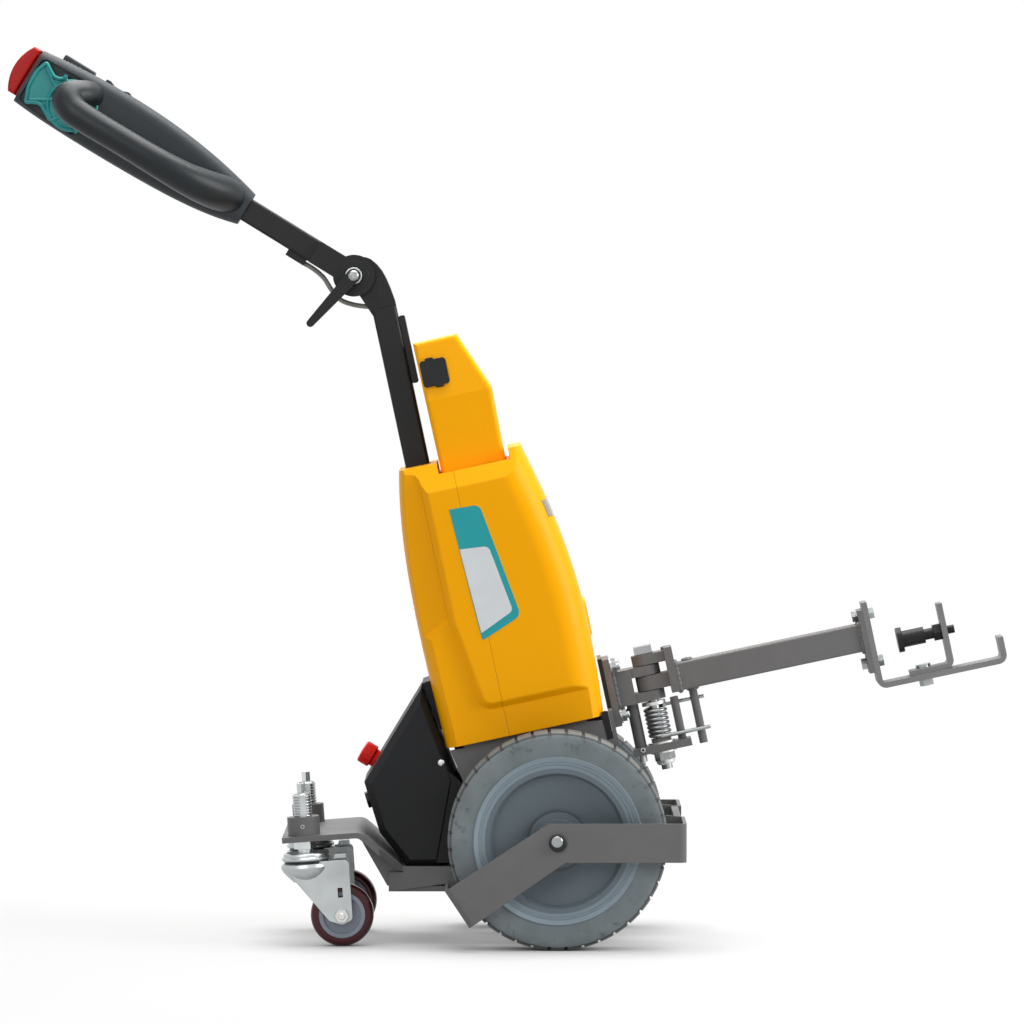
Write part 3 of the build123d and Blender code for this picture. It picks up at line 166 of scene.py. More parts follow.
class Board:
    """A node tree that is filled one node at a time."""

    def __init__(self, tree):
        self.tree = tree

    def node(self, kind, settings=None, sockets=None, output=0):
        """Adds a node with its settings and the values or links of its sockets."""
        made = self.tree.nodes.new(kind)
        for key, value in (settings or {}).items():
            if key == "stops":
                ramp = made.color_ramp.elements
                while len(ramp) < len(value):
                    ramp.new(1.0)
                for element, (position, colour) in zip(ramp, value):
                    element.position, element.color = position, colour
            else:
                setattr(made, key, value)
        for key, value in (sockets or {}).items():
            if isinstance(value, Wire):
                self.tree.links.new(value.socket, made.inputs[key])
            else:
                made.inputs[key].default_value = value
        return Wire(self, made.outputs[output])


class Finish(Board):
    """A surface material with one main shader."""

    def __init__(self, name, **constants):
        """Constants are sockets of the shader, with _ for a space."""
        self.material = bpy.data.materials.new(name)
        self.material.use_nodes = True
        super().__init__(self.material.node_tree)
        self.shader = self.tree.nodes["Principled BSDF"]
        for socket, value in constants.items():
            self.shader.inputs[socket.replace("_", " ")].default_value = value
        self.place = self.node("ShaderNodeTexCoord", output="Object")

    def noise(self, scale, detail=3.0, low=0.0, high=1.0, stretch=(1, 1, 1)):
        """Cloudy values from low to high."""
        spot = self.node("ShaderNodeMapping", sockets={"Vector": self.place, "Scale": stretch})
        cloud = self.node("ShaderNodeTexNoise", sockets={"Vector": spot, "Scale": scale, "Detail": detail})
        return self.node("ShaderNodeMapRange", sockets={0: cloud, 1: 0.3, 2: 0.7, 3: low, 4: high})

    def mix(self, factor, first, second):
        """Colour between two colours."""
        return self.node("ShaderNodeMix", {"data_type": "RGBA"}, {0: factor, 6: first, 7: second}, 2)

    def coordinate(self, axis):
        """Place along an axis, in metres."""
        return self.node("ShaderNodeSeparateXYZ", sockets={0: self.place}, output=axis)

    def radius(self, centre):
        """Distance from a wheel's axle, in metres."""
        x, z = self.coordinate("X") - centre[0], self.coordinate("Z") - centre[2]
        return (x * x + z * z) ** 0.5

    def step(self, value, low, high):
        """0 below low, 1 above high."""
        return self.node("ShaderNodeMapRange", {"interpolation_type": "SMOOTHSTEP"},
                         {0: value, 1: low, 2: high, 3: 0.0, 4: 1.0})

    def paint(self, colour, roughness, height, relief, edge=0.8):
        """Feeds the shader; height is the relief's field, relief its depth in metres."""
        eased = self.node("ShaderNodeBevel", {"samples": 4}, {"Radius": edge * MM})
        normal = self.node("ShaderNodeBump", sockets={"Strength": 1.0, "Distance": relief, "Height": height,
                                                      "Normal": eased})
        for name, wire in (("Base Color", colour), ("Roughness", roughness), ("Normal", normal)):
            self.tree.links.new(wire.socket, self.shader.inputs[name])
        return self.material


def powder_paint(name, colour, gloss):
    """Powder coating: faint orange peel, slightly uneven tone and dust."""
    finish = Finish(name, IOR=1.5, Specular_IOR_Level=0.25)
    tone, peel = finish.noise(9, 4), finish.noise(520, 2)
    dust = finish.noise(60, 5, -0.4, 0.7)
    body = finish.mix(tone, shade(colour, 0.94), shade(colour, 1.05))
    return finish.paint(finish.mix(dust * 0.18, body, shade(colour, 1.35)), gloss + 0.10 * tone + 0.05 * dust,
                        peel, 0.00005)


def moulded(name, colour, gloss, grain=900, relief=0.00003, spread=0.04, edge=1.2, sheen=0.4):
    """Moulded plastic: fine texture and slow changes of tone."""
    finish = Finish(name, IOR=1.48, Specular_IOR_Level=sheen)
    tone, skin = finish.noise(5, 3), finish.noise(grain, 2)
    scuff = finish.noise(34, 6, -0.9, 0.6, (1, 1, 2.5))
    body = finish.mix(tone, shade(colour, 1 - spread), shade(colour, 1 + spread))
    return finish.paint(body, gloss + 0.06 * tone + 0.05 * scuff, skin, relief, edge)


def plated(name, colour, gloss):
    """Bright zinc plating: slow painted reflections from pale to dull, faint yellow passivation, fine drawn
    lines.
    """
    finish = Finish(name, Metallic=1.0)
    cloud, painted_reflection = finish.noise(70, 4), finish.noise(16, 2)
    fine = finish.noise(260, 3, stretch=(1, 1, 6))
    # Painted reflection: slow clouds move the zinc between dull and pale, standing in for reflections of the
    # room.
    body = finish.mix(painted_reflection, shade(colour, 0.74), shade(colour, 1.16))
    tint = (colour[0], colour[1] * 0.97, colour[2] * 0.86, 1.0)
    stained = finish.mix(cloud * 0.3, body, tint)
    return finish.paint(stained, gloss + 0.12 * fine + 0.06 * cloud, fine, 0.00003, 0.6)


def tyre_rubber(name, colours, sizes):
    """Grey solid rubber: smudged walls, a browner tread, painted shade in the notches and a pale ring at the
    rim.
    """
    finish = Finish(name, IOR=1.45)
    colour, outer, bead = colours.tyre_grey, sizes.wheel_radius, sizes.bead_radius
    far = finish.radius(AXLE)
    smudge, fine = finish.noise(26, 6, stretch=(1, 0.4, 1)), finish.noise(420, 3)
    tread = finish.step(far, outer - 0.006, outer - 0.001)
    wall = finish.mix(smudge * 0.8, shade(colour, 1.08), shade(colour, 0.78))
    scuff = finish.noise(60, 7, -1.3, 1.0, (1, 0.3, 1))
    shoulder = finish.step(far, outer - 0.034, outer - 0.016)
    marked = finish.mix(shoulder * finish.step(scuff, 0.3, 1.0) * 0.55, wall, shade(colour, 0.3))
    worn = finish.mix(tread * (0.25 + 0.5 * smudge), marked, shade(colours.tread_brown, 1.0))
    across = (finish.coordinate("Y").size() - TRACK).size()
    # Painted shade: the bottoms of the notches between the lugs are darkened almost to black.
    notch_shade = finish.step(far, outer - 0.0080, outer - 0.0060)
    notch_shade = notch_shade * (1.0 - finish.step(far, outer - 0.0032, outer - 0.0022))
    notch_shade = notch_shade * (1.0 - finish.step(across, 0.0285, 0.0292))
    notch_shaded = finish.mix(notch_shade * 0.75, worn, shade(colour, 0.16))
    ring = 1.0 - finish.step(far, bead + 0.0070, bead + 0.0080)
    ringed = finish.mix(ring, notch_shaded, shade(colours.rim_blue, 1.4))
    return finish.paint(ringed, 0.62 + 0.14 * smudge, fine, 0.00012, 1.5)


def rim_paint(name, colour, sizes):
    """Painted rim: a paler lip round a darker dish, with a painted shadow ring round the hub."""
    finish = Finish(name, IOR=1.48, Specular_IOR_Level=0.35)
    hub, bead = sizes.hub_radius, sizes.bead_radius
    far = finish.radius(AXLE)
    # Painted shadow: a dark ring just outside the raised hub, where the hub shades the dish.
    hub_shadow = finish.step(far, hub, hub + 0.0006) * (1.0 - finish.step(far, hub + 0.0017, hub + 0.0067))
    lip = finish.step(far, bead - 0.0095, bead - 0.0080)
    tone, fine = finish.noise(12, 4), finish.noise(700, 2)
    body = finish.mix(lip, shade(colour, 0.74), shade(colour, 1.36))
    shaded = finish.mix(hub_shadow * 0.6, body, shade(colour, 0.3))
    dulled = finish.mix(tone * 0.2, shaded, shade(colour, 0.8))
    return finish.paint(dulled, 0.36 + 0.10 * tone, fine, 0.00004, 1.2)


def poured_tread(name, colour):
    """Cast castor tread: clear, deep and glossy."""
    finish = Finish(name, IOR=1.5, Specular_IOR_Level=0.2, Coat_Weight=0.35, Coat_Roughness=0.08)
    tone, fine = finish.noise(60, 4), finish.noise(700, 2)
    return finish.paint(finish.mix(tone, shade(colour, 0.8), shade(colour, 1.15)), 0.28 + 0.1 * tone, fine,
                        0.00003, 1.0)


def printed_film(name, colour):
    """Printed film: even colour with a faint emboss."""
    finish = Finish(name, IOR=1.5)
    tone, fine = finish.noise(40, 4), finish.noise(1300, 2)
    return finish.paint(finish.mix(tone, shade(colour, 0.97), shade(colour, 1.03)), 0.30 + 0.08 * tone, fine,
                        0.00001, 0.2)


def colour_setting(name, description, default):
    """A colour that a user can change."""
    return bpy.props.FloatVectorProperty(name=name, description=description, default=default, size=3,
                                         subtype="COLOR", min=0.0, max=1.0)


def length_setting(name, description, default):
    """A length in metres that a user can change."""
    return bpy.props.FloatProperty(name=name, description=description, default=default, min=0.0,
                                   unit="LENGTH", precision=4)


class TugColours(bpy.types.PropertyGroup):
    """Colours of the tug's finishes."""
    frame_grey: colour_setting("Frame grey", "Paint of chassis, guards and tow arm", srgb(108, 107, 107))
    shell_yellow: colour_setting("Shell yellow", "Moulded covers and battery pack", srgb(255, 175, 0))
    column_black: colour_setting("Column black", "Paint of column, tiller tube and lever", srgb(24, 24, 25))
    head_grey: colour_setting("Head grey", "Moulded tiller head", srgb(48, 53, 56))
    box_grey: colour_setting("Box grey", "Moulded controller box", srgb(24, 25, 27))
    grip_grey: colour_setting("Grip grey", "Moulded handles", srgb(27, 32, 35))
    signal_red: colour_setting("Signal red", "Stop cap and isolator knob", srgb(174, 16, 8))
    throttle_green: colour_setting("Throttle turquoise", "Thumb levers", srgb(36, 140, 139))
    zinc: colour_setting("Zinc", "Plated steel", srgb(200, 205, 207))
    drive_iron: colour_setting("Drive iron", "Drive unit and axle", srgb(40, 41, 43))
    rim_blue: colour_setting("Rim blue-grey", "Wheel rims", srgb(116, 129, 137))
    hub_blue: colour_setting("Hub blue-grey", "Castor hubs", srgb(146, 154, 166))
    tyre_grey: colour_setting("Tyre grey", "Drive tyres", srgb(118, 127, 130))
    tread_brown: colour_setting("Tread brown", "Worn tread of the drive tyres", srgb(112, 106, 98))
    castor_red: colour_setting("Castor red", "Castor treads", srgb(70, 10, 20))
    cable_grey: colour_setting("Cable grey", "Cable sheath", srgb(140, 140, 136))
    strip_grey: colour_setting("Strip grey", "Charge indicator on the front cover", srgb(150, 140, 128))
    badge_teal: colour_setting("Badge teal", "Border of the side film", srgb(0, 154, 160))
    badge_white: colour_setting("Badge white", "Field of the side film", srgb(216, 221, 224))


class TugSizes(bpy.types.PropertyGroup):
    """Sizes of the tug's fine pieces and of the view."""
    wheel_radius: length_setting("Wheel radius", "Outside radius of the drive tyres", AXLE.z)
    tyre_lugs: bpy.props.IntProperty(name="Tyre lugs", description="Lugs round a drive tyre", default=40,
                                     min=8)
    lug_depth: length_setting("Lug depth", "Depth of the notches between the lugs", 0.0034)
    bead_radius: length_setting("Bead radius", "Radius at which tyre and rim meet", 0.112)
    hub_radius: length_setting("Hub radius", "Radius of the drive wheels' raised hubs", 0.0398)
    film_thickness: length_setting("Film thickness", "Thickness of the side film", 0.0004)
    spring_radius: length_setting("Spring radius", "Radius of the coil's middle line", 0.0145)
    spring_wire: length_setting("Spring wire", "Radius of the spring's wire", 0.0028)
    thread_pitch: length_setting("Thread pitch", "Pitch of the castor stems", 0.004)
    stem_radius: length_setting("Stem radius", "Core radius of the castor stems", 0.0122)
    cable_radius: length_setting("Cable radius", "Outside radius of the cable at the tiller's joint", 0.0035)
    weld_bead: length_setting("Weld bead", "Radius of the weld beads", 0.0034)
    screw_radius: length_setting("Screw radius", "Radius of the pan-head screws", 0.005)
    camera_distance: length_setting("Camera distance", "From the machine's middle plane", 9.0)
    camera_height: length_setting("Camera height", "Above the floor", 0.964)
    camera_shift: length_setting("Camera shift", "Towards the tow arm", 0.0043)


NODE_FINISH = {
    "chassis_frame": "frame_grey", "drive_unit": "drive_iron", "axle": "drive_iron",
    "wheel_guard_right": "frame_grey", "wheel_guard_left": "frame_grey",
    "guard_bolt_right": "drive_iron", "guard_bolt_left": "drive_iron", "rear_cover": "shell_yellow",
    "front_cover": "shell_yellow", "battery_case": "shell_yellow", "charging_flap": "box_grey",
    "battery_latch": "column_black", "column": "column_black", "clamp_bolt": "zinc",
    "clamp_lever": "column_black", "controller_box": "box_grey", "isolator_knob": "knob_red",
    "charge_plug": "column_black", "castor_carrier": "frame_grey", "castor_stem_right": "zinc",
    "castor_stem_left": "zinc", "tow_bracket": "frame_grey", "centring_stay": "frame_grey",
    "king_bolt": "dull_zinc", "centring_spring": "zinc", "tiller_cable": "cable_grey",
    "tiller_tube": "column_black", "tiller_head": "head_grey", "stop_cap": "signal_red",
    "button_pad": "head_grey", "rocker_switch": "head_grey", "grip_right": "grip_grey",
    "grip_left": "grip_grey", "throttle_right": "throttle_green", "throttle_left": "throttle_green",
    "tow_arm": "frame_grey", "hook": "hook_grey", "locking_bracket": "hook_grey",
    "locking_plunger": "column_black", "hook_bolt": "dull_zinc", "end_bolt_lower": "dull_zinc",
    "end_bolt_upper": "dull_zinc", "castor_fork_right": "fork_zinc", "castor_fork_left": "fork_zinc",
    "castor_hub_right": "hub_blue", "castor_hub_left": "hub_blue", "castor_tyre_right": "castor_red",
    "castor_tyre_left": "castor_red", "rim_right": "rim_blue", "rim_left": "rim_blue",
    "tyre_right": "tyre_grey", "tyre_left": "tyre_grey",
}


def mix_finishes():
    """Every finish of the tug by the name of its colour."""
    colours, sizes = bpy.context.scene.tug_colours, bpy.context.scene.tug_sizes
    return {
        "frame_grey": powder_paint("frame_grey", colours.frame_grey, 0.42),
        # Painted light: the frame grey is made lighter for the hook and its locking bracket, standing in for
        # faces lit from above.
        "hook_grey": powder_paint("hook_grey", shade(colours.frame_grey, 1.35), 0.4),
        "shell_yellow": moulded("shell_yellow", colours.shell_yellow, 0.36, 1500, 0.00001, 0.02, 2.0, 0.13),
        "column_black": powder_paint("column_black", colours.column_black, 0.34),
        "head_grey": moulded("head_grey", colours.head_grey, 0.44, 1300, 0.00005, sheen=0.3),
        "box_grey": moulded("box_grey", colours.box_grey, 0.46, 1300, 0.00005, sheen=0.22),
        "grip_grey": moulded("grip_grey", colours.grip_grey, 0.36, 1600, 0.00002, sheen=0.3),
        "signal_red": moulded("signal_red", colours.signal_red, 0.34, sheen=0.25),
        "knob_red": moulded("knob_red", shade(colours.signal_red, 1.75), 0.34, sheen=0.25),
        "throttle_green": moulded("throttle_green", colours.throttle_green, 0.34),
        "zinc": plated("zinc", colours.zinc, 0.2),
        "fork_zinc": plated("fork_zinc", shade(colours.zinc, 0.84), 0.26),
        "dull_zinc": plated("dull_zinc", shade(colours.zinc, 0.62), 0.22),
        # Darker zinc: the centring spring's own steel, and painted shade on the stem cores between the thread
        # turns.
        "spring_steel": plated("spring_steel", shade(colours.zinc, 0.6), 0.3),
        "drive_iron": powder_paint("drive_iron", colours.drive_iron, 0.5),
        "rim_blue": rim_paint("rim_blue", colours.rim_blue, sizes),
        "hub_blue": moulded("hub_blue", colours.hub_blue, 0.36),
        "tyre_grey": tyre_rubber("tyre_grey", colours, sizes),
        "castor_red": poured_tread("castor_red", colours.castor_red),
        "cable_grey": moulded("cable_grey", colours.cable_grey, 0.42),
        "strip_grey": moulded("strip_grey", colours.strip_grey, 0.16, 1800, 0.00001),
        "badge_teal": printed_film("badge_teal", colours.badge_teal),
        "badge_white": printed_film("badge_white", colours.badge_white),
    }


def dressed(name, mesh, finish):
    """Object of a mesh with its finish."""
    piece = bpy.data.objects.new(name, mesh)
    bpy.context.scene.collection.objects.link(piece)
    mesh.materials.clear()
    mesh.materials.append(bpy.data.materials[finish])
    return piece


def place(name, mesh, body, finish):
    """Puts a finished mesh on its body with its material slot."""
    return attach(dressed(name, mesh, finish), body)


def closed_mesh(name, work, smooth_angle=None):
    """Mesh of a closed shape with its faces outwards."""
    bmesh.ops.remove_doubles(work, verts=work.verts, dist=1e-6)
    bmesh.ops.recalc_face_normals(work, faces=work.faces)
    mesh = bpy.data.meshes.new(name)
    work.to_mesh(mesh)
    work.free()
    if smooth_angle is not None:
        mesh.shade_smooth()
        mesh.set_sharp_from_angle(angle=math.radians(smooth_angle))
    return mesh


def rounded_outline(corners, steps=8):
    """Outline through (point, radius) corners, each turned with an arc."""
    outline = []
    for index, (corner, radius) in enumerate(corners):
        corner = Vector(corner)
        back = (Vector(corners[index - 1][0]) - corner).normalized()
        ahead = (Vector(corners[(index + 1) % len(corners)][0]) - corner).normalized()
        if radius == 0:
            outline.append(corner)
            continue
        half = back.angle(ahead) / 2
        start, stop = corner + back * radius / math.tan(half), corner + ahead * radius / math.tan(half)
        middle = corner + (back + ahead).normalized() * radius / math.sin(half)
        first = math.atan2(start.y - middle.y, start.x - middle.x)
        last = math.atan2(stop.y - middle.y, stop.x - middle.x)
        sweep = (last - first + math.pi) % (2 * math.pi) - math.pi
        for step in range(steps + 1):
            angle = first + sweep * step / steps
            outline.append(middle + radius * Vector((math.cos(angle), math.sin(angle))))
    return outline


def slab(name, outline, back, front, at=in_world):
    """Plate from an outline of (along, up) points in millimetres, from back to front across the machine."""
    work = bmesh.new()
    face = work.faces.new([work.verts.new(at(point.x, back, point.y)) for point in outline])
    raised = bmesh.ops.extrude_face_region(work, geom=[face])["geom"]
    corners = [part for part in raised if isinstance(part, bmesh.types.BMVert)]
    bmesh.ops.translate(work, verts=corners, vec=at(0, front, 0) - at(0, back, 0))
    return closed_mesh(name, work, 30)


def run_through(stations, steps):
    """Smooth run of (x, y, z, radius) knots through the stations."""
    run = []
    padded = [stations[0], *stations, stations[-1]]
    for knots in zip(padded, padded[1:], padded[2:], padded[3:]):
        for step in range(steps):
            s = step / steps
            weights = ((2 * s ** 2 - s ** 3 - s) / 2, (3 * s ** 3 - 5 * s ** 2 + 2) / 2,
                       (4 * s ** 2 - 3 * s ** 3 + s) / 2, (s ** 3 - s ** 2) / 2)
            run.append(sum((weight * knot for weight, knot in zip(weights, knots)), Vector((0, 0, 0, 0))))
    return run + [stations[-1]]


def skinned(name, work, rings, smooth_angle):
    """Closed mesh over a row of rings of vertices."""
    for first, second in zip(rings, rings[1:]):
        for spot in range(len(first)):
            work.faces.new((first[spot - 1], first[spot], second[spot], second[spot - 1]))
    work.faces.new(rings[0])
    work.faces.new(rings[-1])
    return closed_mesh(name, work, smooth_angle)


def tube(name, stations, sides=32, steps=8):
    """Round tube of changing thickness through its stations."""
    run = run_through(stations, steps)
    work, rings = bmesh.new(), []
    turns = [2 * math.pi * side / sides for side in range(sides)]
    across = (run[1] - run[0]).xyz.orthogonal()
    for index, knot in enumerate(run):
        heading = (run[min(index + 1, len(run) - 1)] - run[max(index - 1, 0)]).xyz.normalized()
        across = (across - heading * across.dot(heading)).normalized()
        lift = heading.cross(across)
        rings.append([work.verts.new(knot.xyz + knot.w * (across * math.cos(turn) + lift * math.sin(turn)))
                      for turn in turns])
    return skinned(name, work, rings, 50)


def turned(name, foot, axis, profile, sides=40):
    """Turned piece of (radius, height) steps along an axis, in millimetres; six sides make a hexagon."""
    work, rings = bmesh.new(), []
    stand = Matrix.Translation(foot) @ Vector(axis).to_track_quat("Z", "Y").to_matrix().to_4x4()
    turns = [2 * math.pi * side / sides for side in range(sides)]
    for radius, height in profile:
        spots = [in_world(radius * math.cos(turn), radius * math.sin(turn), height) for turn in turns]
        rings.append([work.verts.new(stand @ spot) for spot in spots])
    return skinned(name, work, rings, 30)


def wheel_ring(name, hub, half, turns):
    """Ring about an axle: half a section's (radius, across, cut) steps at each (angle, depth) turn.

    Lengths are in millimetres, and cut is the share of a turn's depth that a step's radius loses.
    """
    section = list(half) + [(radius, -across, cut) for radius, across, cut in reversed(half) if across]
    work = bmesh.new()
    loops = [[work.verts.new(hub + in_world((radius - depth * cut) * math.cos(turn), across,
                                            (radius - depth * cut) * math.sin(turn)))
              for radius, across, cut in section] for turn, depth in turns]
    for first, second in zip(loops, loops[1:] + loops[:1]):
        for spot in range(len(section)):
            work.faces.new((first[spot - 1], first[spot], second[spot], second[spot - 1]))
    return closed_mesh(name, work, 35)


def joined(name, *meshes):
    """One mesh out of several."""
    work = bmesh.new()
    for mesh in meshes:
        work.from_mesh(mesh)
        bpy.data.meshes.remove(mesh)
    return closed_mesh(name, work, 30)


def ring_outline(centre, radius, count=48):
    """Circle as an outline."""
    return [Vector(centre) + radius * Vector((math.cos(turn), math.sin(turn)))
            for turn in (2 * math.pi * step / count for step in range(count))]


def stem_frame(side):
    """Place and turn of a castor's stem: Z up the stem from the swivel's place, Y across the machine."""
    joint = JOINTS["castor_swivel_" + side]
    across, up = Vector((0, 1, 0)), Vector(joint["axis"])
    turn = Matrix((across.cross(up), across, up)).transposed().to_4x4()
    return Matrix.Translation(joint["pos_m"]) @ turn


def grown(name, tree, values, start=None):
    """Plain mesh of a geometry tree with its named inputs set."""
    holder = bpy.data.objects.new(name, start or bpy.data.meshes.new(name))
    bpy.context.scene.collection.objects.link(holder)
    modifier = holder.modifiers.new(tree.name, "NODES")
    modifier.node_group = tree
    for item in tree.interface.items_tree:
        if item.item_type == "SOCKET" and item.in_out == "INPUT" and item.name in values:
            modifier[item.identifier] = values[item.name]
    ready = holder.evaluated_get(bpy.context.evaluated_depsgraph_get())
    mesh = bpy.data.meshes.new_from_object(ready)
    holder.modifiers.remove(modifier)
    bpy.data.objects.remove(holder)
    return mesh


def tree_with(name, inputs):
    """Geometry tree with its inputs, and the wires that leave them."""
    tree = bpy.data.node_groups.new(name, "GeometryNodeTree")
    tree.interface.new_socket("Geometry", in_out="OUTPUT", socket_type="NodeSocketGeometry")
    for label, kind in inputs:
        tree.interface.new_socket(label, in_out="INPUT", socket_type=kind)
    board = Board(tree)
    entry = tree.nodes.new("NodeGroupInput")
    return board, {label: Wire(board, entry.outputs[label]) for label, kind in inputs}


def close_tree(board, geometry, material):
    """Ends a geometry tree in real geometry with a material."""
    real = board.node("GeometryNodeRealizeInstances", sockets={0: geometry})
    done = board.node("GeometryNodeSetMaterial", sockets={"Geometry": real, "Material": material})
    leave = board.tree.nodes.new("NodeGroupOutput")
    board.tree.links.new(done.socket, leave.inputs[0])
    return board.tree


def coil_tree():
    """Wire wound to a helix about Z, from its foot upwards."""
    board, given = tree_with("coil", [("Turns", "NodeSocketFloat"), ("Radius", "NodeSocketFloat"),
                                      ("Height", "NodeSocketFloat"), ("Wire", "NodeSocketFloat"),
                                      ("Material", "NodeSocketMaterial")])
    spiral = board.node("GeometryNodeCurveSpiral", sockets={
        "Resolution": 28, "Rotations": given["Turns"], "Start Radius": given["Radius"],
        "End Radius": given["Radius"], "Height": given["Height"]})
    section = board.node("GeometryNodeCurvePrimitiveCircle",
                         sockets={"Resolution": 10, "Radius": given["Wire"]})
    wire = board.node("GeometryNodeCurveToMesh", sockets={"Curve": spiral, "Profile Curve": section,
                                                         "Fill Caps": True})
    return close_tree(board, wire, given["Material"])


def screw_tree():
    """Pan-head screws with a hexagon socket, one on each point, along the point's axis."""
    board, given = tree_with("pan_heads", [("Points", "NodeSocketGeometry"), ("Radius", "NodeSocketFloat"),
                                           ("Material", "NodeSocketMaterial")])
    dome = board.node("GeometryNodeMeshUVSphere",
                      sockets={"Segments": 24, "Rings": 16, "Radius": given["Radius"]})
    flat = board.node("GeometryNodeTransform", sockets={"Geometry": dome, "Scale": (1, 1, 0.55)})
    socket = board.node("GeometryNodeMeshCylinder", sockets={"Vertices": 6, "Radius": given["Radius"] * 0.5,
                                                            "Depth": given["Radius"]})
    raised = board.node("ShaderNodeCombineXYZ", sockets={"Z": given["Radius"] * 0.75})
    key = board.node("GeometryNodeTransform", sockets={"Geometry": socket, "Translation": raised})
    head = board.node("GeometryNodeMeshBoolean", {"operation": "DIFFERENCE"}, {"Mesh 1": flat, "Mesh 2": key})
    axis = board.node("GeometryNodeInputNamedAttribute", {"data_type": "FLOAT_VECTOR"}, {"Name": "axis"})
    turn = board.node("FunctionNodeAlignRotationToVector", {"axis": "Z"}, {"Vector": axis})
    spots = board.node("GeometryNodeMeshToPoints", sockets={"Mesh": given["Points"]})
    heads = board.node("GeometryNodeInstanceOnPoints", sockets={"Points": spots, "Instance": head,
                                                                "Rotation": turn})
    return close_tree(board, heads, given["Material"])


class TUG_OT_finishes(bpy.types.Operator):
    """Gives every solid of the frame its finish"""
    bl_idname = "tug.finishes"
    bl_label = "Finishes"

    def execute(self, context):
        made = mix_finishes()
        for node, finish in NODE_FINISH.items():
            frame["nodes"][node].material_slots[0].material = made[finish]
        missing = set(frame["nodes"]) - set(NODE_FINISH)
        if missing:
            raise RuntimeError(f"no finish for {sorted(missing)}")
        return {"FINISHED"}


class TUG_OT_side_film(bpy.types.Operator):
    """Lays the plain two-colour film on the right side panel"""
    bl_idname = "tug.side_film"
    bl_label = "Side film"

    def execute(self, context):
        thick = context.scene.tug_sizes.film_thickness / MM
        border = rounded_outline([((-85.3, 623.2), 0), ((-42.2, 630.5), 11), ((17.2, 472.5), 13),
                                  ((-37.8, 436.5), 3)])
        field = rounded_outline([((-70.3, 566.5), 1), ((-29.3, 571.5), 9), ((5.6, 479.5), 8),
                                 ((-39.2, 447.2), 1)])
        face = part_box("front_cover")[0].y / MM
        for name, outline, height, finish in (("film_border", border, 1, "badge_teal"),
                                              ("film_field", field, 2, "badge_white")):
            mesh = slab(name, outline, face, face - height * thick)
            place(name, mesh, "chassis", finish)
        return {"FINISHED"}


class TUG_OT_grips(bpy.types.Operator):
    """Shapes the two loop handles, swelling towards the tiller tube"""
    bl_idname = "tug.grips"
    bl_label = "Grips"

    def execute(self, context):
        run = ((454, 23, 36, 20), (464, 18, 58, 20.5), (478, 4, 77, 22.5), (466, -7, 88, 21.5),
               (440, -9.5, 93, 20.5), (380, -9, 94, 20), (320, -8.5, 90, 21), (278, -7, 76, 23),
               (245, -3, 52, 25.5), (220, 2, 24, 26.5), (206, 4, 2, 24))
        for side, sign in SIDES.items():
            name = "handle_" + side
            stations = [station(on_tiller(along, sign * across, up), radius * MM)
                        for along, up, across, radius in run]
            piece = place(name, tube(name, stations, 40, 10), "tiller", "grip_grey")
            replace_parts(piece, "grip_" + side)
        return {"FINISHED"}


class TUG_OT_throttles(bpy.types.Operator):
    """Shapes the butterfly thumb levers with their raised rims"""
    bl_idname = "tug.throttles"
    bl_label = "Throttles"

    def execute(self, context):
        wing = rounded_outline([((534, 31), 2), ((540.5, 12), 40), ((539.5, -14), 40), ((530, -35.5), 2),
                                ((511, -26), 16), ((484, -40), 5), ((470, -20), 5), ((474, 16), 5),
                                ((497, 26), 5), ((511, 18), 16)])
        hub = ring_outline((470, -4), 37)
        web = rounded_outline([((515, 12), 2), ((515, -20), 2), ((484, -37), 2), ((484, 22), 2)])
        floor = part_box("throttle_right")[1].y / MM
        for side, sign in SIDES.items():
            name, back = "thumb_lever_" + side, -sign * floor
            parts = [slab("wing", wing, back, back + sign * 10, on_tiller),
                     slab("hub", hub, back, back + sign * 9.5, on_tiller),
                     self.rim(wing, back + sign * 10.5), self.rim(hub, back + sign * 10),
                     slab("web", web, back, back + sign * 8, on_tiller)]
            for tip in ((530, 24), (527, -29)):
                ends = [on_tiller(along, back + sign * 10.5, up) for along, up in ((488, -4), tip)]
                parts.append(tube("rib", [station(end, 2.4 * MM) for end in ends], 12, 4))
            for nub in ((499, 27), (446, -33)):
                parts.append(slab("nub", ring_outline(nub, 3, 16), back, back + sign * 16, on_tiller))
            piece = place(name, joined(name, *parts), "tiller", "throttle_green")
            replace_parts(piece, "throttle_" + side)
        return {"FINISHED"}

    def rim(self, outline, level):
        """Round bead along the edge of a wing."""
        middle = sum(outline, Vector((0, 0))) / len(outline)
        inset = [point - (point - middle).normalized() * 2 for point in outline + outline[:2]]
        return tube("rim", [station(on_tiller(spot.x, level, spot.y), 2.8 * MM) for spot in inset], 12, 1)


class TUG_OT_rocker(bpy.types.Operator):
    """Shapes the two-way rocker on top of the head"""
    bl_idname = "tug.rocker"
    bl_label = "Rocker"

    def execute(self, context):
        outline = rounded_outline([((449.5, 44), 0), ((449.5, 54.5), 2), ((443, 54.5), 4), ((434, 50.5), 6),
                                   ((422, 51.5), 6), ((414, 54.5), 3), ((409, 53.5), 2), ((408, 44), 0)])
        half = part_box("rocker_switch")[1].y / MM
        mesh = slab("rocker", outline, -half, half, on_tiller)
        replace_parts(place("rocker", mesh, "tiller", "head_grey"), "rocker_switch")
        return {"FINISHED"}


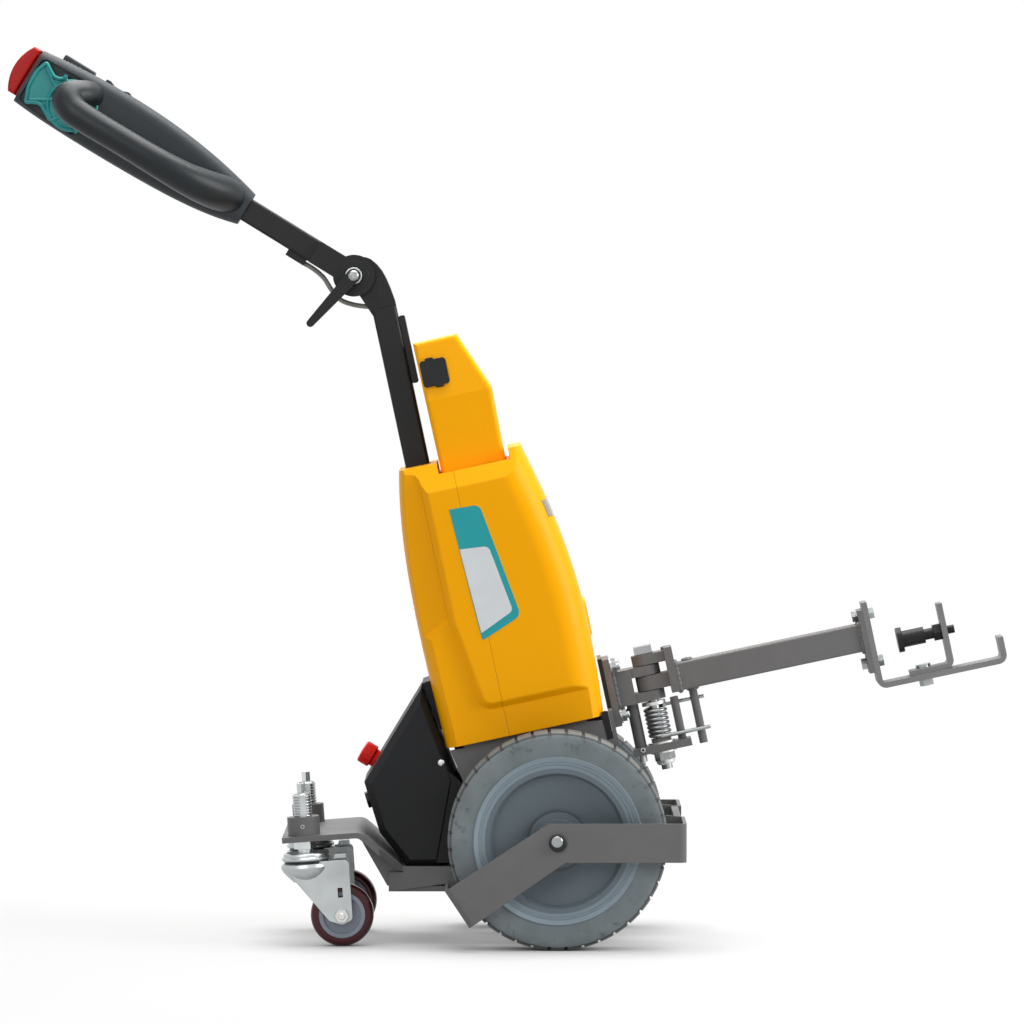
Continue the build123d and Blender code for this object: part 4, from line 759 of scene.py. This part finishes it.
class TUG_OT_column_neck(bpy.types.Operator):
    """Rounds the bent neck of the column"""
    bl_idname = "tug.column_neck"
    bl_label = "Column neck"

    def execute(self, context):
        outer = ((-68.8, 789), (-69.6, 800), (-71.5, 814), (-74.2, 828), (-78, 841), (-83.5, 852),
                 (-91, 861.5), (-98, 866))
        inner = ((-108, 858), (-100, 820), (-92, 789))
        half = 17.8
        mesh = slab("column_neck", [Vector(spot) for spot in outer + inner], -half, half, in_body)
        place("column_neck", mesh, "chassis", "column_black")
        return {"FINISHED"}


class TUG_OT_joint_cable(bpy.types.Operator):
    """Leads the cable round the tiller's joint, between tube and column"""
    bl_idname = "tug.joint_cable"
    bl_label = "Joint cable"

    def execute(self, context):
        run = ((-71.2, 17.3), (-58, 9.2), (-44, -3), (-33, -20), (-20, -34.5), (-4, -41), (12, -43.8),
               (28, -45))
        radius = context.scene.tug_sizes.cable_radius
        stations = [station(PIVOT + in_world(along, 0, up), radius) for along, up in run]
        piece = dressed("joint_cable", tube("joint_cable", stations, 16, 8), "cable_grey")
        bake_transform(piece)
        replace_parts(piece, "tiller_cable")
        return {"FINISHED"}


class TUG_OT_tyres(bpy.types.Operator):
    """Shapes the lugged drive tyres and the rounded castor treads"""
    bl_idname = "tug.tyres"
    bl_label = "Tyres"

    def execute(self, context):
        sizes = context.scene.tug_sizes
        outer, bead = sizes.wheel_radius / MM, sizes.bead_radius / MM
        wall = [(bead + 0.2, 27, 0), (bead + 7, 29.4, 0), (bead + 8.2, 27.8, 0), (outer - 18, 30, 0),
                (outer - 10, 30, 0), (outer - 6, 29.3, 0), (outer - 2.6, 27, 1), (outer - 0.7, 23.5, 1),
                (outer, 19, 1), (outer, 7, 0.9), (outer - 3.6, 6, 0), (outer - 3.6, 0, 0)]
        lugs = sizes.tyre_lugs
        steps = ((0.0, 0), (0.015, 1), (0.175, 1), (0.19, 0), (0.39, 0), (0.59, 0), (0.8, 0))
        turns = [(2 * math.pi * (lug + share + 0.4) / lugs, depth * sizes.lug_depth / MM)
                 for lug in range(lugs) for share, depth in steps]
        tread = [(33.2, 15, 0), (37.5, 15, 0), (40.5, 14.2, 0), (43, 12, 0), (44.5, 8.8, 0), (45, 5, 0),
                 (45, 0, 0)]
        even = [(2 * math.pi * step / 96, 0) for step in range(96)]
        for side in SIDES:
            for name, joint, half, ring, slot, finish in (
                    ("tyre", "drive_roll", wall, turns, "tyre_rubber", "tyre_grey"),
                    ("castor_tyre", "castor_roll", tread, even, "castor_tread", "castor_red")):
                hub = Vector(JOINTS[f"{joint}_{side}"]["pos_m"])
                body = JOINTS[f"{joint}_{side}"]["child"]
                mesh = wheel_ring(f"shaped_{name}_{side}", hub, half, ring)
                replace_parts(place(f"shaped_{name}_{side}", mesh, body, finish), f"{name}_{side}")
        return {"FINISHED"}


class TUG_OT_welds(bpy.types.Operator):
    """Runs the weld beads of the tow coupling"""
    bl_idname = "tug.welds"
    bl_label = "Welds"

    def execute(self, context):
        bead = context.scene.tug_sizes.weld_bead
        line, half, rear, front, peg = 181.5, 20, 217, 487, 234
        plate, plate_line = 125, 182
        beam = self.square(half, half)
        loops = {
            "beam_weld_rear": ("tow_arm", [in_body(rear, y, line + z) for y, z in beam]),
            "beam_weld_front": ("tow_arm", [in_body(front, y, line + z) for y, z in beam]),
            "bracket_weld": ("chassis", [in_body(plate, y, plate_line + z) for y, z in self.square(25, 26)]),
            "peg_weld": ("tow_arm", [in_body(peg + x, y, line - half - 0.5) for x, y in self.circle(6.2)]),
            "plug_weld": ("tow_arm", [in_body(peg + x, y, line + half + 0.5) for x, y in self.circle(5)]),
        }
        for name, (body, spots) in loops.items():
            stations = [station(spot, bead * self.ripple(index))
                        for index, spot in enumerate(spots + spots[:1])]
            place(name, tube(name, stations, 10, 2), body, "frame_grey")
        return {"FINISHED"}

    def ripple(self, index):
        """Uneven thickness along a bead."""
        return 1 + 0.16 * math.sin(2.1 * index) + 0.10 * math.sin(5.3 * index)

    def square(self, half_width, half_height):
        """Points round a box section with rounded corners."""
        corners = ((1, 1), (1, -1), (-1, -1), (-1, 1))
        points = rounded_outline([((half_width * x, half_height * z), 3) for x, z in corners], 2)
        spaced = []
        for start, stop in zip(points, points[1:] + points[:1]):
            count = max(1, round((stop - start).length / 2.5))
            spaced += [start.lerp(stop, step / count) for step in range(count)]
        return spaced

    def circle(self, radius):
        """Points round a pin."""
        return ring_outline((0, 0), radius, 16)


class TUG_OT_indicator(bpy.types.Operator):
    """Lays the pale indicator strip on the rounded front of the cover"""
    bl_idname = "tug.indicator"
    bl_label = "Indicator"

    def execute(self, context):
        cover = frame["nodes"]["front_cover"]
        half, low, high, columns, rows = 94, 449, 474, 48, 6
        ahead, sunk, raised = 200, -0.4, 0.7
        work, layers = bmesh.new(), []
        for lift in (sunk, raised):
            layer = []
            for column in range(columns + 1):
                for row in range(rows + 1):
                    across, up = half * (2 * column / columns - 1), low + (high - low) * row / rows
                    start = in_body(ahead, across, up)
                    hit, spot, normal, _ = cover.ray_cast(start, BODY_AXES @ Vector((-1, 0, 0)))
                    if not hit:
                        raise RuntimeError("the front of the cover was not met")
                    layer.append(work.verts.new(spot + normal * lift * MM))
            layers.append(layer)
        span = rows + 1
        for column in range(columns):
            for row in range(rows):
                spots = [column * span + row, (column + 1) * span + row, (column + 1) * span + row + 1,
                         column * span + row + 1]
                for layer in layers:
                    work.faces.new([layer[spot] for spot in spots])
        edge = [column * span for column in range(columns + 1)]
        edge += [columns * span + row for row in range(1, span)]
        edge += [column * span + rows for column in reversed(range(columns))]
        edge += list(reversed(range(1, rows)))
        for first, second in zip(edge, edge[1:] + edge[:1]):
            work.faces.new([layers[0][first], layers[0][second], layers[1][second], layers[1][first]])
        mesh = closed_mesh("indicator_strip", work, 40)
        place("indicator_strip", mesh, "chassis", "strip_grey")
        return {"FINISHED"}


class TUG_OT_centring_spring(bpy.types.Operator):
    """Winds the centring spring of the tow arm with its two legs"""
    bl_idname = "tug.centring_spring"
    bl_label = "Centring spring"

    def execute(self, context):
        sizes = context.scene.tug_sizes
        steel = bpy.data.materials["spring_steel"]
        low, high, king, reach, turns = 102.0, 145.0, 175.0, 248.0, 7.0
        mesh = grown("spring", coil_tree(), {"Turns": turns, "Radius": sizes.spring_radius,
                                             "Height": (high - low) * MM, "Wire": sizes.spring_wire,
                                             "Material": steel})
        mesh.transform(Matrix.Translation(in_body(king, 0, low)) @ BODY_AXES.to_4x4())
        work = bmesh.new()
        work.from_mesh(mesh)
        for level, side in ((low, -1), (high, 1)):
            across = side * sizes.spring_radius / MM
            start, stop = in_body(king, across, level), in_body(reach, across, level)
            turn = (stop - start).to_track_quat("Z", "Y").to_matrix().to_4x4()
            bmesh.ops.create_cone(work, cap_ends=True, segments=10, radius1=sizes.spring_wire,
                                  radius2=sizes.spring_wire, depth=(stop - start).length,
                                  matrix=Matrix.Translation((start + stop) / 2) @ turn)
        wound = closed_mesh("coiled_spring", work, 50)
        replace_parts(place("coiled_spring", wound, "chassis", "spring_steel"), "centring_spring")
        return {"FINISHED"}


class TUG_OT_screws(bpy.types.Operator):
    """Sets the small screws of the controller box and the tiller joint"""
    bl_idname = "tug.screws"
    bl_label = "Screws"

    def execute(self, context):
        tree, radius = screw_tree(), context.scene.tug_sizes.screw_radius
        low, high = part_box("controller_box")
        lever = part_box("clamp_lever")[0].y
        along, up = -0.0969, 0.2606
        box_spots = [((along, low.y, up), (0, -1, 0)), ((along, high.y, up), (0, 1, 0))]
        joint_spots = [((PIVOT.x, lever, PIVOT.z), (0, -1, 0))]
        for name, spots, size, finish in (("box_screws", box_spots, radius, "zinc"),
                                          ("joint_screw", joint_spots, radius * 1.6, "dull_zinc")):
            points = bpy.data.meshes.new(name)
            points.from_pydata([spot for spot, axis in spots], [], [])
            axes = points.attributes.new("axis", "FLOAT_VECTOR", "POINT")
            axes.data.foreach_set("vector", [part for spot, axis in spots for part in axis])
            mesh = grown(name, tree, {"Radius": size, "Material": bpy.data.materials[finish]}, points)
            place(name, mesh, "chassis", finish)
        return {"FINISHED"}


class TUG_OT_box_fittings(bpy.types.Operator):
    """Closes the controller box towards wheels and cover and sets its round knob"""
    bl_idname = "tug.box_fittings"
    bl_label = "Box fittings"

    def execute(self, context):
        outline = rounded_outline([((-104, 262), 2), ((-67, 232), 6), ((-67, 117), 2), ((-104, 117), 2)])
        place("box_skirt", slab("box_skirt", outline, -90, 90), "chassis", "box_grey")
        seal = rounded_outline([((-125, 372), 1), ((-108, 378), 1), ((-86, 303), 1), ((-98, 306), 1)])
        place("box_seal", slab("box_seal", seal, -62, 62), "chassis", "box_grey")
        top, bend = Vector((-126, 0, 366)), Vector((-207, 0, 232))
        slope = bend - top
        steps = [(13, -1), (13, 6), (15.5, 6.5), (16.5, 8), (16.5, 21), (16, 23), (14, 24.4), (6, 24.9)]
        knob = turned("round_knob", (top + slope * 0.8) * MM, (slope.z, 0, -slope.x), steps, 48)
        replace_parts(place("round_knob", knob, "chassis", "knob_red"), "isolator_knob")
        return {"FINISHED"}


class TUG_OT_fittings(bpy.types.Operator):
    """Sets the bolts, washers and studs of the tow coupling"""
    bl_idname = "tug.fittings"
    bl_label = "Tow fittings"

    def execute(self, context):
        ahead, up = BODY_AXES @ Vector((1, 0, 0)), BODY_AXES @ Vector((0, 0, 1))
        king, post = in_body(175, 0, 0), in_body(144, 0, 0)
        bolts = []
        for across in (-36, 36):
            for level in (145, 216):
                face = in_body(124, across, level)
                bolts.append(turned("washer", face, ahead, [(11, 0), (11, 2.4)]))
                bolts.append(turned("nut", face, ahead, [(9.6, 2.4), (9.6, 9)], 6))
                bolts.append(turned("end", face, ahead, [(5, 9), (5, 13), (4, 14)]))
        rings = [turned("nut_washer", king, up, [(19, 78.4), (19, 80.9)]),
                 turned("nut_dome", king, up, [(11, 61), (13.4, 63.5), (13.8, 67.5)]),
                 turned("spring_washer", king, up, [(17.5, 148.5), (17.5, 153.4)]),
                 turned("seat_washer", king, up, [(19.5, 92.1), (19.5, 94.6)]),
                 turned("post_end", post, up, [(4.5, 70), (5.5, 71), (5.5, 81)]),
                 turned("stay_pin", in_body(145.8, -20, 88.8), (0, -1, 0), [(3.4, 0), (3.4, 1.6)])]
        place("mount_bolts", joined("mount_bolts", *bolts), "chassis", "dull_zinc")
        place("king_washers", joined("king_washers", *rings), "chassis", "zinc")
        # Painted shade: a thin black disc on the stay pin's end stands for the dark inside of its bore.
        bore = turned("stay_bore", in_body(145.8, -21.6, 88.8), (0, -1, 0), [(1.9, 0), (1.9, 0.3)])
        place("stay_bore", bore, "chassis", "column_black")
        stud = turned("arm_stud", in_body(204, 0, 0), up, [(3.4, 219), (3.4, 227), (2.4, 228)])
        place("arm_stud", stud, "tow_arm", "frame_grey")
        foot_edge = ((99, 120), (107.8, 120), (107.8, 160), (97, 160))
        head_edge = ((107.8, 160), (114, 160), (114, 232), (107.8, 232))
        edges = [slab("edge", [Vector(spot) for spot in outline], face, face - 0.6, in_body)
                 for outline, face in ((foot_edge, -93), (head_edge, -46))]
        place("plate_edges", joined("plate_edges", *edges), "chassis", "column_black")
        return {"FINISHED"}


class TUG_OT_castor_fittings(bpy.types.Operator):
    """Sets the swivel bells, the black rings painted as shade in their gaps, tabs and axle nuts of the
    castors and the caps of the drive axle
    """
    bl_idname = "tug.castor_fittings"
    bl_label = "Castor fittings"

    def execute(self, context):
        for side, sign in SIDES.items():
            self.swivel(side)
            self.guard_cap(side, sign)
        steps = [(3, 0), (3, 0.9), (1.6, 0.9), (1.6, 0.2)]
        grub = turned("collar_grub", in_world(-293.9, -126.6, 171.8), (0, -1, 0), steps)
        place("collar_grub", grub, "chassis", "dull_zinc")
        return {"FINISHED"}

    def swivel(self, side):
        """Bell with its lip and tab, the black ring painted as shade in the gap, and axle nuts of one castor.
        """
        joint, body = JOINTS["castor_swivel_" + side], "castor_" + side
        foot, up = Vector(joint["pos_m"]), Vector(joint["axis"])
        hub = Vector(JOINTS["castor_roll_" + side]["pos_m"])
        dish = [(20, -66), (28, -58), (34.5, -50), (36.5, -44.5), (35, -40), (31.5, -38.2)]
        lip = [(31, -36.4), (34.6, -34), (34.6, -31.5), (33, -30)]
        bell, nuts = [turned("bell", foot, up, dish, 56), turned("lip", foot, up, lip, 56)], []
        for face in (-1, 1):
            out = Vector((0, face, 0))
            bell.append(turned("flange", hub, out, [(10.8, 24), (10.4, 25.4)]))
            nuts.append(turned("nut", hub, out, [(9.4, 25.4), (9.4, 32.2)], 6))
            nuts.append(turned("bolt_end", hub, out, [(5, 32.2), (5, 34.5), (4, 35.5)]))
        corners = ((39, -36), (57, -36), (57, -29), (42, -29))
        tab = slab("tab", [Vector(spot) for spot in corners], -10, 10)
        tab.transform(stem_frame(side))
        bell.append(tab)
        name = "swivel_bell_" + side
        place(name, joined(name, *bell), body, "fork_zinc")
        name = "axle_nuts_" + side
        place(name, joined(name, *nuts), body, "zinc")
        # Painted shade: a black ring fills the gap between the bell's dish and its lip.
        name = "swivel_seal_" + side
        seal = turned(name, foot, up, [(31, -38.4), (31, -36.2)], 56)
        place(name, seal, body, "column_black")

    def guard_cap(self, side, sign):
        """Cap on the guard's bolt at one end of the drive axle."""
        name = "guard_cap_" + side
        low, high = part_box("guard_bolt_" + side)
        spot = Vector((AXLE.x - 0.001, low.y if sign < 0 else high.y, AXLE.z + 0.002))
        mesh = turned(name, spot, (0, sign, 0), [(8, -2), (8, 0.6), (7, 1.4)])
        place(name, mesh, "chassis", "dull_zinc")


class TUG_OT_stem_threads(bpy.types.Operator):
    """Cuts the threads of the castor stems"""
    bl_idname = "tug.stem_threads"
    bl_label = "Stem threads"

    def execute(self, context):
        sizes, tree = context.scene.tug_sizes, coil_tree()
        pitch, radius = sizes.thread_pitch, sizes.stem_radius
        start, length, wide = 0.0275, 0.030, radius / MM
        corners = ((-3, 27), (6, 27), (6, 58), (-3, 58))
        for side in SIDES:
            stand = stem_frame(side)
            thread = grown("thread_" + side, tree, {
                "Turns": length / pitch, "Radius": radius, "Height": length, "Wire": pitch * 0.32,
                "Material": bpy.data.materials["zinc"]})
            thread.transform(stand @ Matrix.Translation((0, 0, start)))
            flat = slab("flat", [Vector(spot) for spot in corners], -wide - 1.4, wide + 1.4)
            flat.transform(stand)
            # Painted shade: the core under the thread takes the darker steel, so the grooves between the
            # turns read dark.
            name = "stem_core_" + side
            steps = [(wide, 27), (wide, 58), (wide - 2, 60)]
            core = turned(name, stand.translation, JOINTS["castor_swivel_" + side]["axis"], steps)
            place(name, core, "chassis", "spring_steel")
            name = "stem_thread_" + side
            place(name, joined(name, thread, flat), "chassis", "fork_zinc")
        return {"FINISHED"}


class TUG_OT_studio(bpy.types.Operator):
    """Builds the pale floor, the soft lights and the camera"""
    bl_idname = "tug.studio"
    bl_label = "Studio"

    def execute(self, context):
        scene, sizes = context.scene, context.scene.tug_sizes
        self.floor()
        self.surroundings(scene)
        for name, place_at, look_at, size, power in (
                ("key_light", (-1.6, -3.8, 2.4), (0, 0, 0.5), 2.6, 52),
                ("front_light", (3.4, -1.0, 1.8), (0, 0, 0.5), 2.0, 96),
                ("top_light", (0.1, 0.2, 3.0), (0, 0, 0.3), 2.2, 98),
                ("back_light", (-1.2, 2.6, 2.8), (0, 0, 0.4), 1.6, 44)):
            lamp = bpy.data.lights.new(name, "AREA")
            lamp.size, lamp.energy = size, power
            lit = bpy.data.objects.new(name, lamp)
            lit.location = place_at
            lit.rotation_euler = (Vector(look_at) - Vector(place_at)).to_track_quat("-Z", "Y").to_euler()
            scene.collection.objects.link(lit)
        eye = bpy.data.cameras.new("camera")
        eye.sensor_width = 36.0
        scale = sizes.camera_distance / PIXEL_LENGTH
        eye.lens = eye.sensor_width * scale / PICTURE_WIDTH
        eye.clip_end = 100.0
        camera = bpy.data.objects.new("camera", eye)
        camera.location = (sizes.camera_shift, -sizes.camera_distance, sizes.camera_height)
        dip = math.atan((PICTURE_WIDTH / 2 - EYE_ROW) / scale)
        camera.rotation_euler = (math.radians(90) - dip, 0, 0)
        scene.collection.objects.link(camera)
        scene.camera = camera
        scene.view_settings.view_transform = "Standard"
        return {"FINISHED"}

    def seen(self, board):
        """1 for rays from the camera, a mirror or glass."""
        camera, mirror, glass = (board.node("ShaderNodeLightPath", output=name)
                                 for name in ("Is Camera Ray", "Is Glossy Ray", "Is Transmission Ray"))
        return board.node("ShaderNodeMath", {"operation": "MINIMUM"}, {0: camera + mirror + glass, 1: 1.0})

    def floor(self):
        """Pale floor that fades to white away from the tug, with a painted contact shadow where its glow dims
        near the tug.
        """
        work = bmesh.new()
        bmesh.ops.create_grid(work, x_segments=1, y_segments=1, size=30)
        mesh = bpy.data.meshes.new("floor")
        work.to_mesh(mesh)
        work.free()
        floor = bpy.data.objects.new("floor", mesh)
        bpy.context.scene.collection.objects.link(floor)
        material = bpy.data.materials.new("studio_floor")
        material.use_nodes = True
        board = Board(material.node_tree)
        board.tree.nodes.clear()
        matt = board.node("ShaderNodeBsdfDiffuse", sockets={"Color": (0.5, 0.5, 0.5, 1)})
        dull = board.node("ShaderNodeBsdfDiffuse", sockets={"Color": (0.3, 0.3, 0.3, 1)})
        # Painted shadow: ambient occlusion dims the floor's glow under and round the tug.
        contact_shadow = board.node("ShaderNodeAmbientOcclusion", {"samples": 8}, {"Distance": 0.13}, "Color")
        glow = board.node("ShaderNodeEmission", sockets={"Color": contact_shadow, "Strength": 0.56})
        bright = board.node("ShaderNodeAddShader", sockets={0: dull, 1: glow})
        white = board.node("ShaderNodeEmission", sockets={"Color": (1, 1, 1, 1), "Strength": 1.0})
        spot = board.node("ShaderNodeTexCoord", output="Object")
        far = board.node("ShaderNodeVectorMath", {"operation": "LENGTH"}, {0: spot}, "Value")
        fade = board.node("ShaderNodeMapRange", {"interpolation_type": "SMOOTHSTEP"},
                          {0: far, 1: 0.65, 2: 1.7, 3: 0.0, 4: 1.0})
        pale = board.node("ShaderNodeMixShader", sockets={0: fade, 1: bright, 2: white})
        shown = board.node("ShaderNodeMixShader", sockets={0: self.seen(board), 1: matt, 2: pale})
        leave = board.tree.nodes.new("ShaderNodeOutputMaterial")
        board.tree.links.new(shown.socket, leave.inputs["Surface"])
        mesh.materials.append(material)

    def surroundings(self, scene):
        """White surroundings that light the tug only softly."""
        scene.world = bpy.data.worlds.new("studio")
        scene.world.use_nodes = True
        board = Board(scene.world.node_tree)
        board.tree.nodes.clear()
        light = board.node("ShaderNodeBackground", sockets={"Color": (1, 1, 1, 1), "Strength": 0.20})
        white = board.node("ShaderNodeBackground", sockets={"Color": (1, 1, 1, 1), "Strength": 1.0})
        shown = board.node("ShaderNodeMixShader", sockets={0: self.seen(board), 1: light, 2: white})
        leave = board.tree.nodes.new("ShaderNodeOutputWorld")
        board.tree.links.new(shown.socket, leave.inputs["Surface"])


OPERATORS = (TUG_OT_finishes, TUG_OT_side_film, TUG_OT_grips, TUG_OT_throttles, TUG_OT_rocker,
             TUG_OT_column_neck, TUG_OT_joint_cable, TUG_OT_tyres, TUG_OT_welds, TUG_OT_indicator,
             TUG_OT_centring_spring, TUG_OT_screws, TUG_OT_box_fittings, TUG_OT_fittings,
             TUG_OT_castor_fittings, TUG_OT_stem_threads, TUG_OT_studio)


class TUG_PT_sidebar(bpy.types.Panel):
    """Lists the tug's pieces, colours and sizes"""
    bl_label = "Tow Tug"
    bl_idname = "TUG_PT_sidebar"
    bl_space_type = "VIEW_3D"
    bl_region_type = "UI"
    bl_category = "Tow Tug"

    def draw(self, context):
        for operator in OPERATORS:
            self.layout.operator(operator.bl_idname)
        for group in (context.scene.tug_colours, context.scene.tug_sizes):
            for name in group.__annotations__:
                self.layout.prop(group, name)


CLASSES = (TugColours, TugSizes, *OPERATORS, TUG_PT_sidebar)


def register():
    for made in CLASSES:
        bpy.utils.register_class(made)
    bpy.types.Scene.tug_colours = bpy.props.PointerProperty(type=TugColours)
    bpy.types.Scene.tug_sizes = bpy.props.PointerProperty(type=TugSizes)


def unregister():
    del bpy.types.Scene.tug_sizes
    del bpy.types.Scene.tug_colours
    for made in reversed(CLASSES):
        bpy.utils.unregister_class(made)


def main():
    register()
    bpy.ops.tug.finishes()
    bpy.ops.tug.side_film()
    bpy.ops.tug.grips()
    bpy.ops.tug.throttles()
    bpy.ops.tug.rocker()
    bpy.ops.tug.column_neck()
    bpy.ops.tug.joint_cable()
    bpy.ops.tug.tyres()
    bpy.ops.tug.welds()
    bpy.ops.tug.indicator()
    bpy.ops.tug.centring_spring()
    bpy.ops.tug.screws()
    bpy.ops.tug.box_fittings()
    bpy.ops.tug.fittings()
    bpy.ops.tug.castor_fittings()
    bpy.ops.tug.stem_threads()
    bpy.ops.tug.studio()


if __name__ == "__main__":
    main()
